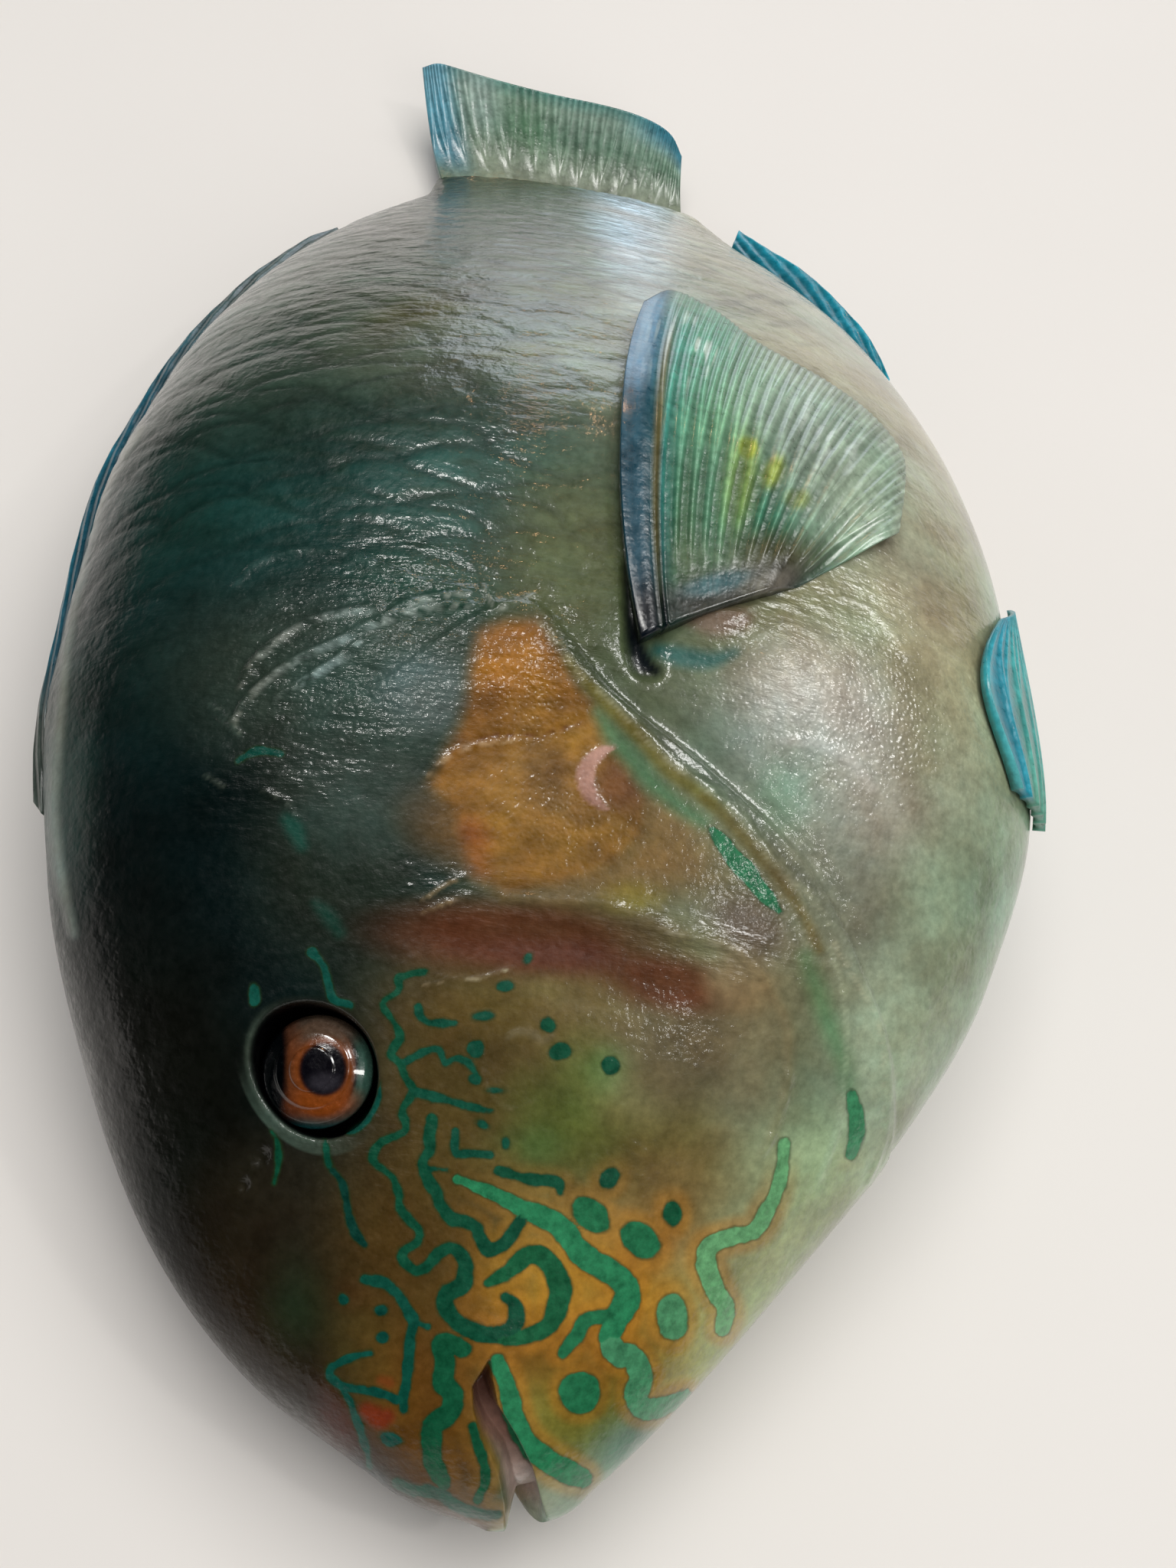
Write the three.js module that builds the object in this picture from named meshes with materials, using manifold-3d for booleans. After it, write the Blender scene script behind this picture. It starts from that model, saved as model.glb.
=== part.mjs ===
// A parrotfish lying on its right side, life size, with its fins folded back.
// Millimetres, +Z up. The snout points to -Y, the back to -X and the left flank up.
// Places on the fish are given as (along, up): along from the snout tip to the tail,
// up from the body's middle line towards the back. Height is measured from the floor.
import * as THREE from 'three';
import { mergeVertices } from 'three/addons/utils/BufferGeometryUtils.js';
import Module from 'manifold-3d';

const wasm = await Module();
wasm.setup();

// Driving dimensions
const SNOUT = 3;
const LENGTH = 292;
const GAP = 0.35;
const HEAD_END_UNDER_BACK = 92;
const TAIL_STALK_START = 230;
const TAIL_STALK_SLANT = 0.12;
const GILL_COVER_THICKNESS = 7;
const GILL_COVER_RISE = 1.8;
const LIP_RISE = 1.3;
const BODY_STATIONS = 48;
const STATION_CROWDING = 1.35;
const BODY_SIDES = 36;

// The body's outline, as [along, value] stations
const BACK = [[SNOUT, -5], [4.9, 5], [9.2, 13.5], [19, 31.5], [37, 49.5], [59, 62.5], [89, 74.5], [122, 80.5],
  [155, 80], [190, 75], [223, 66], [254, 52], [272, 41], [283, 34.5], [LENGTH, 33]];
const BELLY = [[SNOUT, -5], [4.9, -15], [9.2, -20], [19, -29.5], [37, -44.5], [59, -61], [89, -78],
  [122, -86], [155, -83], [183, -79], [207, -73], [233, -64], [257, -51], [274, -39.5],
  [LENGTH, -29]];
const HALF_WIDTH = [[SNOUT, 0], [4.4, 5.5], [9.2, 11], [19, 16.5], [37, 22.5], [63, 29.5], [96, 35],
  [126, 38], [158, 38.5], [190, 34.5], [228, 25.5], [258, 16.5], [274, 11], [LENGTH, 4.8]];
const WIDEST = [[SNOUT, -5], [22, -1.5], [59, 6.7], [126, 8], [190, 6], [254, 1], [LENGTH, 2.5]];
const MIDDLE_HEIGHT = [[SNOUT, 19], [37, 23.3], [74, 30], [96, 33.3], [126, 36.4], [158, 36.9], [190, 33.1],
  [228, 24.4], [258, 15.9], [274, 10.6], [LENGTH, 5]];

// The hind edge of the gill cover and of the head, as [up, along] stations
const HEAD_EDGE = [[-110, 40], [-80, 47], [-64, 57], [-58, 70], [-52, 80], [-42, 92], [-26, 103],
  [-7, 114], [2, 123], [6, 125.5], [12, 123], [28, 109], [45, 100], [65, HEAD_END_UNDER_BACK + 3],
  [110, HEAD_END_UNDER_BACK]];
// The outline of the gill cover, [along, up]. Its hind side runs past the head's edge.
const GILL_COVER = [[84, 24], [105, 33], [134, 14], [124, -10], [110, -32], [92, -54], [76, -63],
  [60, -63], [49, -52], [47, -41], [60, -42], [74, -40], [82, -30], [84.5, -19], [83, 4]];
// The lower jaw, [along, up], and the gap between the lips
const MOUTH_CORNER = [23, -1.2];
const LOWER_JAW = [[-12, -8.5], [4, -8.2], [12, -6], MOUTH_CORNER, [31, -12], [36, -26], [35, -42],
  [31, -64], [-12, -64]];
const LIP_GAP = [[-12, -4], [2, -5.6], [8, -5.8], [14, -4.6], MOUTH_CORNER, [14, -6.4], [8, -8.4],
  [5, -10.6], [-12, -13.5]];
const LIP_LINE = [[1, -7], [8, -7], [14, -5.2], MOUTH_CORNER];

const EYE_PLACE = [56, 28.5];
const EYE_RADIUS = 8.2;
const SOCKET_CLEARANCE = 0.4;
const NOSTRILS = [[45, 34, 1.3], [41.5, 36, 0.9]];

const SKIN = 0x5f6b3c;
const BACK_SKIN = 0x24504a;
const FIN_SKIN = 0x2f9c9c;

// A smooth line through stations that never overshoots them
function smoothLine(stations) {
  const x = stations.map((station) => station[0]);
  const y = stations.map((station) => station[1]);
  const last = x.length - 1;
  const width = [];
  const slope = [];
  for (let i = 0; i < last; i += 1) {
    width.push(x[i + 1] - x[i]);
    slope.push((y[i + 1] - y[i]) / width[i]);
  }
  const tangent = [slope[0]];
  for (let i = 1; i < last; i += 1) {
    const same = slope[i - 1] * slope[i] > 0;
    const near = 2 * width[i] + width[i - 1];
    const far = width[i] + 2 * width[i - 1];
    tangent.push(same ? (near + far) / (near / slope[i - 1] + far / slope[i]) : 0);
  }
  tangent.push(slope[last - 1]);
  return (at) => {
    const place = Math.min(Math.max(at, x[0]), x[last]);
    let i = 0;
    while (i < last - 1 && place > x[i + 1]) i += 1;
    const t = (place - x[i]) / width[i];
    const rest = 1 - t;
    return y[i] * (1 + 2 * t) * rest * rest + y[i + 1] * t * t * (3 - 2 * t)
      + width[i] * t * rest * (tangent[i] * rest - tangent[i + 1] * t);
  };
}

const back = smoothLine(BACK);
const belly = smoothLine(BELLY);
const halfWidth = smoothLine(HALF_WIDTH);
const widest = smoothLine(WIDEST);
const middleHeight = smoothLine(MIDDLE_HEIGHT);
const headEdge = smoothLine(HEAD_EDGE);

const mix = (a, b, t) => a + (b - a) * t;
const bump = (distance, reach) => Math.exp(-((distance / reach) ** 2));

function distanceToLine(along, up, line) {
  let nearest = Infinity;
  for (let i = 0; i + 1 < line.length; i += 1) {
    const dx = line[i + 1][0] - line[i][0];
    const dy = line[i + 1][1] - line[i][1];
    const t = ((along - line[i][0]) * dx + (up - line[i][1]) * dy) / (dx * dx + dy * dy);
    const held = Math.min(Math.max(t, 0), 1);
    nearest = Math.min(nearest, Math.hypot(along - line[i][0] - dx * held, up - line[i][1] - dy * held));
  }
  return nearest;
}

// How far the head stands proud of the plain body: the gill cover's hind edge and the lips
function headRelief(along, up) {
  const inside = headEdge(up) - along;
  const span = bump(up + 18, 38);
  const cover = GILL_COVER_RISE * span * bump(inside, 16);
  return cover + LIP_RISE * bump(distanceToLine(along, up, LIP_LINE), 4.5);
}

// A point of the body's surface. turn runs from 0 at the back over the left flank to the belly at PI.
// shell.grow moves the whole surface out, shell.slim thins the body, shell.rim widens its outline.
function bodyPoint(along, turn, shell) {
  const top = back(along) + shell.grow + shell.rim;
  const low = belly(along) - shell.grow - shell.rim;
  const middle = widest(along);
  const c = Math.cos(turn);
  const up = middle + (c > 0 ? top - middle : middle - low) * c;
  const relief = shell.relief ? headRelief(along, up) : 0;
  const half = Math.max(halfWidth(along) + shell.grow - shell.slim + relief, 0.05);
  const height = Math.max(middleHeight(along) + half * Math.sin(turn), -shell.grow);
  return new THREE.Vector3(-up, along, height);
}

const PLAIN = { grow: 0, slim: 0, rim: 0, relief: false };
const HEAD_SHELL = { ...PLAIN, relief: true };

function bodyGeometry(shell) {
  const positions = [];
  const faces = [];
  const push = (point) => positions.push(point.x, point.y, point.z);
  push(new THREE.Vector3(-widest(SNOUT), SNOUT - shell.grow, middleHeight(SNOUT)));
  for (let i = 1; i <= BODY_STATIONS; i += 1) {
    const along = mix(SNOUT, LENGTH + shell.grow, (i / BODY_STATIONS) ** STATION_CROWDING);
    for (let j = 0; j < BODY_SIDES; j += 1) {
      push(bodyPoint(along, (2 * Math.PI * j) / BODY_SIDES, shell));
    }
  }
  const end = bodyPoint(LENGTH + shell.grow, 0, shell);
  push(new THREE.Vector3(-widest(LENGTH), end.y, end.z));
  const vertex = (i, j) => 1 + (i - 1) * BODY_SIDES + (j % BODY_SIDES);
  const tail = 1 + BODY_STATIONS * BODY_SIDES;
  for (let j = 0; j < BODY_SIDES; j += 1) {
    faces.push(0, vertex(1, j + 1), vertex(1, j));
    for (let i = 1; i < BODY_STATIONS; i += 1) {
      faces.push(vertex(i, j), vertex(i + 1, j + 1), vertex(i + 1, j));
      faces.push(vertex(i, j), vertex(i, j + 1), vertex(i + 1, j + 1));
    }
    faces.push(tail, vertex(BODY_STATIONS, j), vertex(BODY_STATIONS, j + 1));
  }
  const geometry = new THREE.BufferGeometry();
  geometry.setAttribute('position', new THREE.Float32BufferAttribute(positions, 3));
  geometry.setIndex(faces);
  return geometry;
}

function solidOf(geometry) {
  geometry.deleteAttribute('normal');
  geometry.deleteAttribute('uv');
  const merged = mergeVertices(geometry, 1e-4);
  return new wasm.Manifold(new wasm.Mesh({
    numProp: 3,
    vertProperties: new Float32Array(merged.attributes.position.array),
    triVerts: new Uint32Array(merged.index.array),
  }));
}

function geometryOf(solid) {
  const mesh = solid.getMesh();
  const geometry = new THREE.BufferGeometry();
  geometry.setAttribute('position', new THREE.Float32BufferAttribute(mesh.vertProperties, 3));
  geometry.setIndex(new THREE.Uint32BufferAttribute(mesh.triVerts, 1));
  return geometry;
}

// The closed pieces of a solid, largest first
function piecesOf(solid) {
  return solid.decompose().sort((a, b) => b.volume() - a.volume());
}

// A wall-sided prism over an outline of [along, up] points, from below the floor to over the fish
function prism(outline, spread = 0) {
  const loop = outline.map(([along, up]) => new THREE.Vector2(-up, along));
  if (THREE.ShapeUtils.isClockWise(loop)) loop.reverse();
  const grown = loop.map((point, i) => {
    const before = loop[(i + loop.length - 1) % loop.length];
    const after = loop[(i + 1) % loop.length];
    const inward = point.clone().sub(before).normalize();
    const outward = after.clone().sub(point).normalize();
    const side = new THREE.Vector2(inward.y + outward.y, -inward.x - outward.x).normalize();
    const stretch = Math.max(side.x * outward.y - side.y * outward.x, 0.5);
    return point.clone().addScaledVector(side, spread / stretch);
  });
  const geometry = new THREE.ExtrudeGeometry(new THREE.Shape(grown), { depth: 120, bevelEnabled: false });
  geometry.translate(0, 0, -20);
  return solidOf(geometry);
}

function smoothOutline(outline, count) {
  const loop = outline.map(([along, up]) => new THREE.Vector3(along, up, 0));
  const curve = new THREE.CatmullRomCurve3(loop, true, 'centripetal');
  return curve.getPoints(count).slice(0, count).map((point) => [point.x, point.y]);
}

// Everything ahead of (side -1) or behind (side 1) a line that runs from belly to back
function regionBeside(edge, side) {
  const outline = [];
  for (let up = -105; up <= 105; up += 5) outline.push([edge(up) + (side * GAP * 1.3) / 2, up]);
  const far = side < 0 ? -30 : LENGTH + 30;
  outline.push([far, 105], [far, -105]);
  return prism(outline);
}

// A place on a flank with its outward direction. side is 1 on the left, -1 on the right.
function flankPlace(along, up, side, lift = 0) {
  const middle = widest(along);
  const reach = up > middle ? back(along) - middle : middle - belly(along);
  const turn = Math.acos(Math.min(Math.max((up - middle) / reach, -1), 1));
  return bodyPlace(along, turn, side, lift);
}

function bodyPlace(along, turn, side, lift = 0) {
  const step = 0.02;
  const at = (place, angle) => {
    const point = bodyPoint(place, angle, PLAIN);
    point.z = middleHeight(place) + halfWidth(place) * Math.sin(angle) * side;
    return point;
  };
  const point = at(along, turn);
  const lengthwise = at(along + 1, turn).sub(at(along - 1, turn));
  const around = at(along, turn + step).sub(at(along, turn - step));
  const normal = around.cross(lengthwise).normalize().multiplyScalar(side);
  return { point: point.addScaledVector(normal, lift), normal };
}

// A fin of rays and thinner membrane between. Both faces are split into triangles alike.
// A grown fin is the room that the fin needs, so it is as thick as its rays all over.
const MEMBRANE = 0.55;
function finGeometry({ rays, rows, place, thickness, grow = 0 }) {
  const columns = 2 * (rays - 1);
  const positions = [];
  const faces = [];
  for (const side of [1, -1]) {
    for (let i = 0; i <= rows; i += 1) {
      for (let j = 0; j <= columns; j += 1) {
        const u = i / rows;
        const v = j / columns;
        const { point, normal } = place(u, v, grow);
        const ray = j % 2 === 0 || grow > 0 ? 1 : MEMBRANE;
        const half = (thickness(u, v) * ray) / 2 + grow;
        const spot = point.clone().addScaledVector(normal, side * half);
        positions.push(spot.x, spot.y, spot.z);
      }
    }
  }
  const width = columns + 1;
  const layer = (rows + 1) * width;
  const quad = (a, b, c, d) => faces.push(a, b, c, a, c, d);
  for (let i = 0; i < rows; i += 1) {
    for (let j = 0; j < columns; j += 1) {
      const a = i * width + j;
      quad(a, a + 1, a + width + 1, a + width);
      const b = layer + a;
      faces.push(b, b + width + 1, b + 1, b, b + width, b + width + 1);
    }
  }
  for (let j = 0; j < columns; j += 1) {
    const tip = rows * width + j;
    quad(j, layer + j, layer + j + 1, j + 1);
    quad(tip + 1, layer + tip + 1, layer + tip, tip);
  }
  for (let i = 0; i < rows; i += 1) {
    const a = i * width;
    const b = a + columns;
    quad(a + width, layer + a + width, layer + a, a);
    quad(b, layer + b, layer + b + width, b + width);
  }
  const geometry = new THREE.BufferGeometry();
  geometry.setAttribute('position', new THREE.Float32BufferAttribute(positions, 3));
  geometry.setIndex(faces);
  return geometry;
}

function finSolid(fin) {
  const solid = solidOf(finGeometry(fin));
  if (solid.volume() > 0) return solid;
  const geometry = finGeometry(fin);
  const index = geometry.index.array;
  for (let i = 0; i < index.length; i += 3) {
    const first = index[i];
    index[i] = index[i + 1];
    index[i + 1] = first;
  }
  return solidOf(geometry);
}

// The fins of the back and the belly lie folded, root sunk in the ridge. FOLD is the share of the
// rays' slant that carries the edge to the rear, lean how far the edge rises or droops for each mm out.
const FOLD = 0.8;
function ridgeFinPlace(fin, edge, height) {
  const slant = Math.tan(THREE.MathUtils.degToRad(fin.slant)) * FOLD;
  const normal = new THREE.Vector3(-fin.side * fin.lean, 0, 1).normalize();
  return (u, v) => {
    const along = mix(fin.start, fin.end, v);
    const slope = (edge(along + 1) - edge(along - 1)) / 2;
    const out = new THREE.Vector3(fin.side, fin.side * slope, 0).normalize();
    const rearward = new THREE.Vector3(-slope, 1, 0).normalize();
    const rise = mix(-fin.root, height(v), u);
    const above = Math.max(rise, 0);
    const point = new THREE.Vector3(-edge(along), along, middleHeight(along));
    point.addScaledVector(out, rise).addScaledVector(rearward, above * slant);
    point.z += above * fin.lean;
    return { point, normal };
  };
}

const DORSAL = { start: 100, end: 254, rays: 19, rows: 3, root: 2.5, slant: 68, side: -1, lean: -0.6,
  tip: 1.1 };
const dorsalHeight = smoothLine([[0, 1.5], [0.15, 1.8], [0.3, 3], [0.5, 3.8], [0.92, 4.6], [1, 3]]);
const dorsalFin = {
  ...DORSAL,
  place: ridgeFinPlace(DORSAL, back, dorsalHeight),
  thickness: (u) => mix(3.2, DORSAL.tip, u),
};

const ANAL = { start: 228, end: 280, rays: 12, rows: 3, root: 2.5, slant: 52, side: 1, lean: 0.1, tip: 1.1 };
const analHeight = smoothLine([[0, 3], [0.25, 6], [0.6, 7], [1, 5]]);
const analFin = {
  ...ANAL,
  place: ridgeFinPlace(ANAL, belly, analHeight),
  thickness: (u) => mix(3, ANAL.tip, u),
};

// The tail fin curls up off the floor towards its tip
const CAUDAL = { rays: 14, rows: 6, sink: 4, rootUpper: 30, rootLower: -25, curl: 1.8, tilt: 0.9, wave: 0.9 };
const caudalLength = smoothLine([[0, 26], [0.12, 25.5], [0.3, 24], [0.5, 22], [0.88, 18], [1, 15]]);
const caudalRise = smoothLine([[0, 11.5], [0.15, 14], [0.5, 14.5], [0.8, 12], [1, 9]]);
const caudalTipUp = smoothLine([[0, 40], [0.12, 36], [0.5, 3], [0.88, -20], [1, -23]]);
function caudalPlace(u, v) {
  const along = mix(LENGTH - CAUDAL.sink, LENGTH + caudalLength(v), u);
  const spread = u ** 0.8;
  const up = mix(mix(CAUDAL.rootUpper, CAUDAL.rootLower, v), caudalTipUp(v), spread);
  const wave = CAUDAL.wave * Math.sin(9 * v + 1) * u;
  const height = mix(4.9, 2.4, u) + caudalRise(v) * u ** CAUDAL.curl + wave;
  const tilt = new THREE.Vector3(0, -CAUDAL.tilt * u, 1);
  return { point: new THREE.Vector3(-up, along, height), normal: tilt.normalize() };
}
const caudalFin = { ...CAUDAL, place: caudalPlace, thickness: (u) => mix(4.4, 1.1, u ** 0.6) };

// The pectoral fins lie back on the flanks, the right one pressed flat under the fish
const PECTORAL = { rays: 15, rows: 8, upper: [121, -11], lower: [139, -37], bow: 9, lift: 0.15, spread: 2.6 };
const PRESSED_CLEARANCE = 0.5;
const pectoralTipAlong = smoothLine([[0, 198], [0.1, 206], [0.22, 202], [0.4, 194], [0.6, 189],
  [0.75, 184], [0.87, 174], [1, 155]]);
const pectoralTipUp = smoothLine([[0, -9], [0.1, -15], [0.22, -22], [0.4, -30], [0.6, -43],
  [0.75, -51], [0.87, -56], [1, -53.5]]);
const pectoralThickness = (u) => mix(3, 1, Math.max(u, 0) ** 0.55);
function pectoralSpot(u, v) {
  const base = [mix(PECTORAL.upper[0], PECTORAL.lower[0], v), mix(PECTORAL.upper[1], PECTORAL.lower[1], v)];
  const tip = [pectoralTipAlong(v), pectoralTipUp(v)];
  const bow = PECTORAL.bow * (1 - v) * 2 * u * (1 - u);
  return [mix(base[0], tip[0], u), mix(base[1], tip[1], u) + bow];
}
function leftPectoralPlace(u, v) {
  const [along, up] = pectoralSpot(u, v);
  const lift = pectoralThickness(u) / 2 + GAP + PECTORAL.lift + PECTORAL.spread * u * (1 - 0.4 * v);
  return flankPlace(along, up, 1, lift);
}
function rightPectoralPlace(u, v, grow) {
  const past = (t) => (t === 0 ? -grow : 0) + (t === 1 ? grow : 0);
  const spot = pectoralSpot(u, v);
  const along = spot[0] + past(u);
  const up = spot[1] - past(v);
  const place = flankPlace(along, up, -1, pectoralThickness(u) / 2 + GAP);
  place.point.z = Math.max(place.point.z, pectoralThickness(u) / 2);
  return { point: place.point, normal: new THREE.Vector3(0, 0, -1) };
}
const leftPectoral = { ...PECTORAL, place: leftPectoralPlace, thickness: pectoralThickness };
const rightPectoral = { ...PECTORAL, place: rightPectoralPlace, thickness: pectoralThickness };

// The pelvic fins lie folded back beside the belly's middle line
const PELVIC = { rays: 6, rows: 7, start: 118, length: 45, turn: 174, width: 27, lift: 1.5, spread: 0.7 };
function pelvicFin(side) {
  const place = (u, v) => {
    const along = mix(PELVIC.start, PELVIC.start + PELVIC.length * (1 - 0.28 * v), u);
    const spread = mix(0.5, 1, Math.sin(Math.PI * Math.min(u * 0.75 + 0.12, 1)));
    const turn = THREE.MathUtils.degToRad(PELVIC.turn - PELVIC.width * spread * v);
    return bodyPlace(along, turn, side, PELVIC.lift + PELVIC.spread * u);
  };
  return { ...PELVIC, place, thickness: (u) => mix(2.2, 0.9, u) };
}

// Turned forms whose axis is the way out of the head
function turnedSolid(profile, segments, { point, normal }) {
  const geometry = new THREE.LatheGeometry(profile.map(([r, h]) => new THREE.Vector2(r, h)), segments);
  const turn = new THREE.Quaternion().setFromUnitVectors(new THREE.Vector3(0, 1, 0), normal);
  geometry.applyMatrix4(new THREE.Matrix4().compose(point, turn, new THREE.Vector3(1, 1, 1)));
  return solidOf(geometry);
}
const r = EYE_RADIUS;
const c = SOCKET_CLEARANCE;
const EYE_PROFILE = [[0, -8.4], [0.62 * r, -8], [0.94 * r, -5.8], [r, -3.4], [0.94 * r, -2],
  [0.75 * r, -0.9], [0.42 * r, -0.1], [0, 0.2]];
const SOCKET_PROFILE = [[0, -8.4 - c], [0.62 * r + c, -8 - c], [0.94 * r + c, -5.8 - c], [r + c, -3.4],
  [r + c + 0.1, -1.4], [r + c + 0.9, 0.6], [r + c + 3, 4], [0, 4]];
const eyePlace = (side) => flankPlace(EYE_PLACE[0], EYE_PLACE[1], side);
const eyeSolid = (side) => turnedSolid(EYE_PROFILE, 24, eyePlace(side));

function headHollows() {
  const hollows = [];
  for (const side of [1, -1]) {
    hollows.push(turnedSolid(SOCKET_PROFILE, 24, eyePlace(side)));
    for (const [along, up, radius] of NOSTRILS) {
      const profile = [[0, -1.8], [radius * 0.7, -1.5], [radius * 1.2, 1.5], [0, 1.5]];
      hollows.push(turnedSolid(profile, 8, flankPlace(along, up, side)));
    }
  }
  return hollows;
}

// The mass of palate and tongue that the parted lips show
function mouthLining() {
  const geometry = new THREE.SphereGeometry(1, 20, 12);
  geometry.scale(11, 15, halfWidth(22) - 5);
  geometry.translate(7, 22, middleHeight(22));
  return solidOf(geometry);
}

function buildBody() {
  const ahead = regionBeside(headEdge, -1);
  const behind = regionBeside(headEdge, 1);
  const front = solidOf(bodyGeometry(HEAD_SHELL)).intersect(ahead);
  const rear = solidOf(bodyGeometry(PLAIN)).intersect(behind);
  const stalkEdge = (up) => TAIL_STALK_START - TAIL_STALK_SLANT * up;
  const core = solidOf(bodyGeometry({ ...PLAIN, slim: GILL_COVER_THICKNESS, rim: 3 }));
  const slimCore = solidOf(bodyGeometry({ ...PLAIN, slim: GILL_COVER_THICKNESS + GAP, rim: 3 }));
  const coverOutline = smoothOutline(GILL_COVER, 44);
  const covers = piecesOf(front.intersect(prism(coverOutline)).subtract(core)).slice(0, 2);
  const heightOf = (solid) => solid.boundingBox().max[2];
  covers.sort((a, b) => heightOf(b) - heightOf(a));
  let head = front.subtract(prism(coverOutline, GAP).subtract(slimCore));
  const lipGap = prism(LIP_GAP).subtract(mouthLining());
  head = head.subtract(prism(LOWER_JAW, GAP / 2)).subtract(lipGap);
  for (const hollow of headHollows()) head = head.subtract(hollow);
  const jaw = front.intersect(prism(LOWER_JAW, -GAP / 2)).subtract(lipGap);
  return {
    head: piecesOf(head)[0],
    lower_jaw: piecesOf(jaw)[0],
    gill_cover_left: covers[0],
    gill_cover_right: covers[1],
    trunk: rear.intersect(regionBeside(stalkEdge, -1)),
    tail_stalk: rear.intersect(regionBeside(stalkEdge, 1)),
  };
}

function buildFish() {
  const body = buildBody();
  const grown = solidOf(bodyGeometry({ ...PLAIN, grow: GAP }));
  const pressed = finSolid({ ...rightPectoral, grow: PRESSED_CLEARANCE });
  const rooted = (fin) => piecesOf(finSolid(fin).subtract(grown))[0];
  body.trunk = piecesOf(body.trunk.subtract(pressed))[0];
  return [
    ['head', body.head, SKIN],
    ['lower_jaw', body.lower_jaw, SKIN],
    ['gill_cover_left', body.gill_cover_left, 0xa8702a],
    ['gill_cover_right', body.gill_cover_right, 0xa8702a],
    ['trunk', body.trunk, BACK_SKIN],
    ['tail_stalk', body.tail_stalk, 0x7c8f80],
    ['eye_left', eyeSolid(1), 0x8a5a30],
    ['eye_right', eyeSolid(-1), 0x8a5a30],
    ['dorsal_fin', rooted(dorsalFin), FIN_SKIN],
    ['anal_fin', rooted(analFin), FIN_SKIN],
    ['caudal_fin', rooted(caudalFin), FIN_SKIN],
    ['pectoral_fin_left', finSolid(leftPectoral), 0x3f8f78],
    ['pectoral_fin_right', finSolid(rightPectoral), 0x3f8f78],
    ['pelvic_fin_left', finSolid(pelvicFin(1)), FIN_SKIN],
    ['pelvic_fin_right', finSolid(pelvicFin(-1)), FIN_SKIN],
  ];
}

const fish = new THREE.Group();
for (const [name, solid, color] of buildFish()) {
  const material = new THREE.MeshStandardMaterial({ color, roughness: 0.35, metalness: 0 });
  const mesh = new THREE.Mesh(geometryOf(solid), material);
  mesh.name = name;
  fish.add(mesh);
}
// The origin is under the middle of the fish's box, on the floor
const box = new THREE.Box3().setFromObject(fish);
const centre = box.getCenter(new THREE.Vector3());
fish.position.set(-centre.x, -centre.y, -box.min.z);
fish.updateMatrixWorld(true);

export default fish;
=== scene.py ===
"""A parrotfish lying on its right side, life size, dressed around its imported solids.

Places on the fish are (along, up) in millimetres, as on the solids: along from the snout tip
to the tail, up from the body's middle line to the back. turn runs round the body from the
back at 0 over the left flank to the belly at pi. Places in the picture are pixels of its frame.
"""

import math

import bpy
import numpy as np
from mathutils import Matrix, Vector


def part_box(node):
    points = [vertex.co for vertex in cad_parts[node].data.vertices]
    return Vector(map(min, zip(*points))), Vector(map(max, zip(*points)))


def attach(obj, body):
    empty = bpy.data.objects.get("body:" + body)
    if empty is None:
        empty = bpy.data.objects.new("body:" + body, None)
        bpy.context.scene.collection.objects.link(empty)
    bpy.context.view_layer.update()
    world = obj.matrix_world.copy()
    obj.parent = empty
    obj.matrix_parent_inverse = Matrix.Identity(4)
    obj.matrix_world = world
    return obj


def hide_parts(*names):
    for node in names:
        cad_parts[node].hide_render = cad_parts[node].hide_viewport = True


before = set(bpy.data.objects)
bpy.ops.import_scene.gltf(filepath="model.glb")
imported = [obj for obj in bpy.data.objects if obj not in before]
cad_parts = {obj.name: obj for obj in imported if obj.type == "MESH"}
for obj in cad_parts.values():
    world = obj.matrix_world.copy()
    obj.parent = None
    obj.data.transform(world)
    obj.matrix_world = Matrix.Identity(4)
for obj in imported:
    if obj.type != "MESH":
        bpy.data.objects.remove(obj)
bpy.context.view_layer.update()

MM = 0.001
SNOUT = 3
LENGTH = 292
GAP = 0.35

# The body's outline, as (along, value) stations, the same as the solids have
BACK = [(SNOUT, -5), (4.9, 5), (9.2, 13.5), (19, 31.5), (37, 49.5), (59, 62.5), (89, 74.5), (122, 80.5),
        (155, 80), (190, 75), (223, 66), (254, 52), (272, 41), (283, 34.5), (LENGTH, 33)]
BELLY = [(SNOUT, -5), (4.9, -15), (9.2, -20), (19, -29.5), (37, -44.5), (59, -61), (89, -78),
         (122, -86), (155, -83), (183, -79), (207, -73), (233, -64), (257, -51), (274, -39.5),
         (LENGTH, -29)]
HALF_WIDTH = [(SNOUT, 0), (4.4, 5.5), (9.2, 11), (19, 16.5), (37, 22.5), (63, 29.5), (96, 35), (126, 38),
              (158, 38.5), (190, 34.5), (228, 25.5), (258, 16.5), (274, 11), (LENGTH, 4.8)]
WIDEST = [(SNOUT, -5), (22, -1.5), (59, 6.7), (126, 8), (190, 6), (254, 1), (LENGTH, 2.5)]
MIDDLE_HEIGHT = [(SNOUT, 19), (37, 23.3), (74, 30), (96, 33.3), (126, 36.4), (158, 36.9), (190, 33.1),
                 (228, 24.4), (258, 15.9), (274, 10.6), (LENGTH, 5)]
HEAD_EDGE = [(-110, 40), (-80, 47), (-64, 57), (-58, 70), (-52, 80), (-42, 92), (-26, 103), (-7, 114),
             (2, 123), (6, 125.5), (12, 123), (28, 109), (45, 100), (65, 95), (110, 92)]
LIP_LINE = [(1, -7), (8, -7), (14, -5.2), (23, -1.2)]
EYE_PLACE = (56, 28.5)
NOSTRILS = [(45, 34, 1.3), (41.5, 36, 0.9)]

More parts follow.
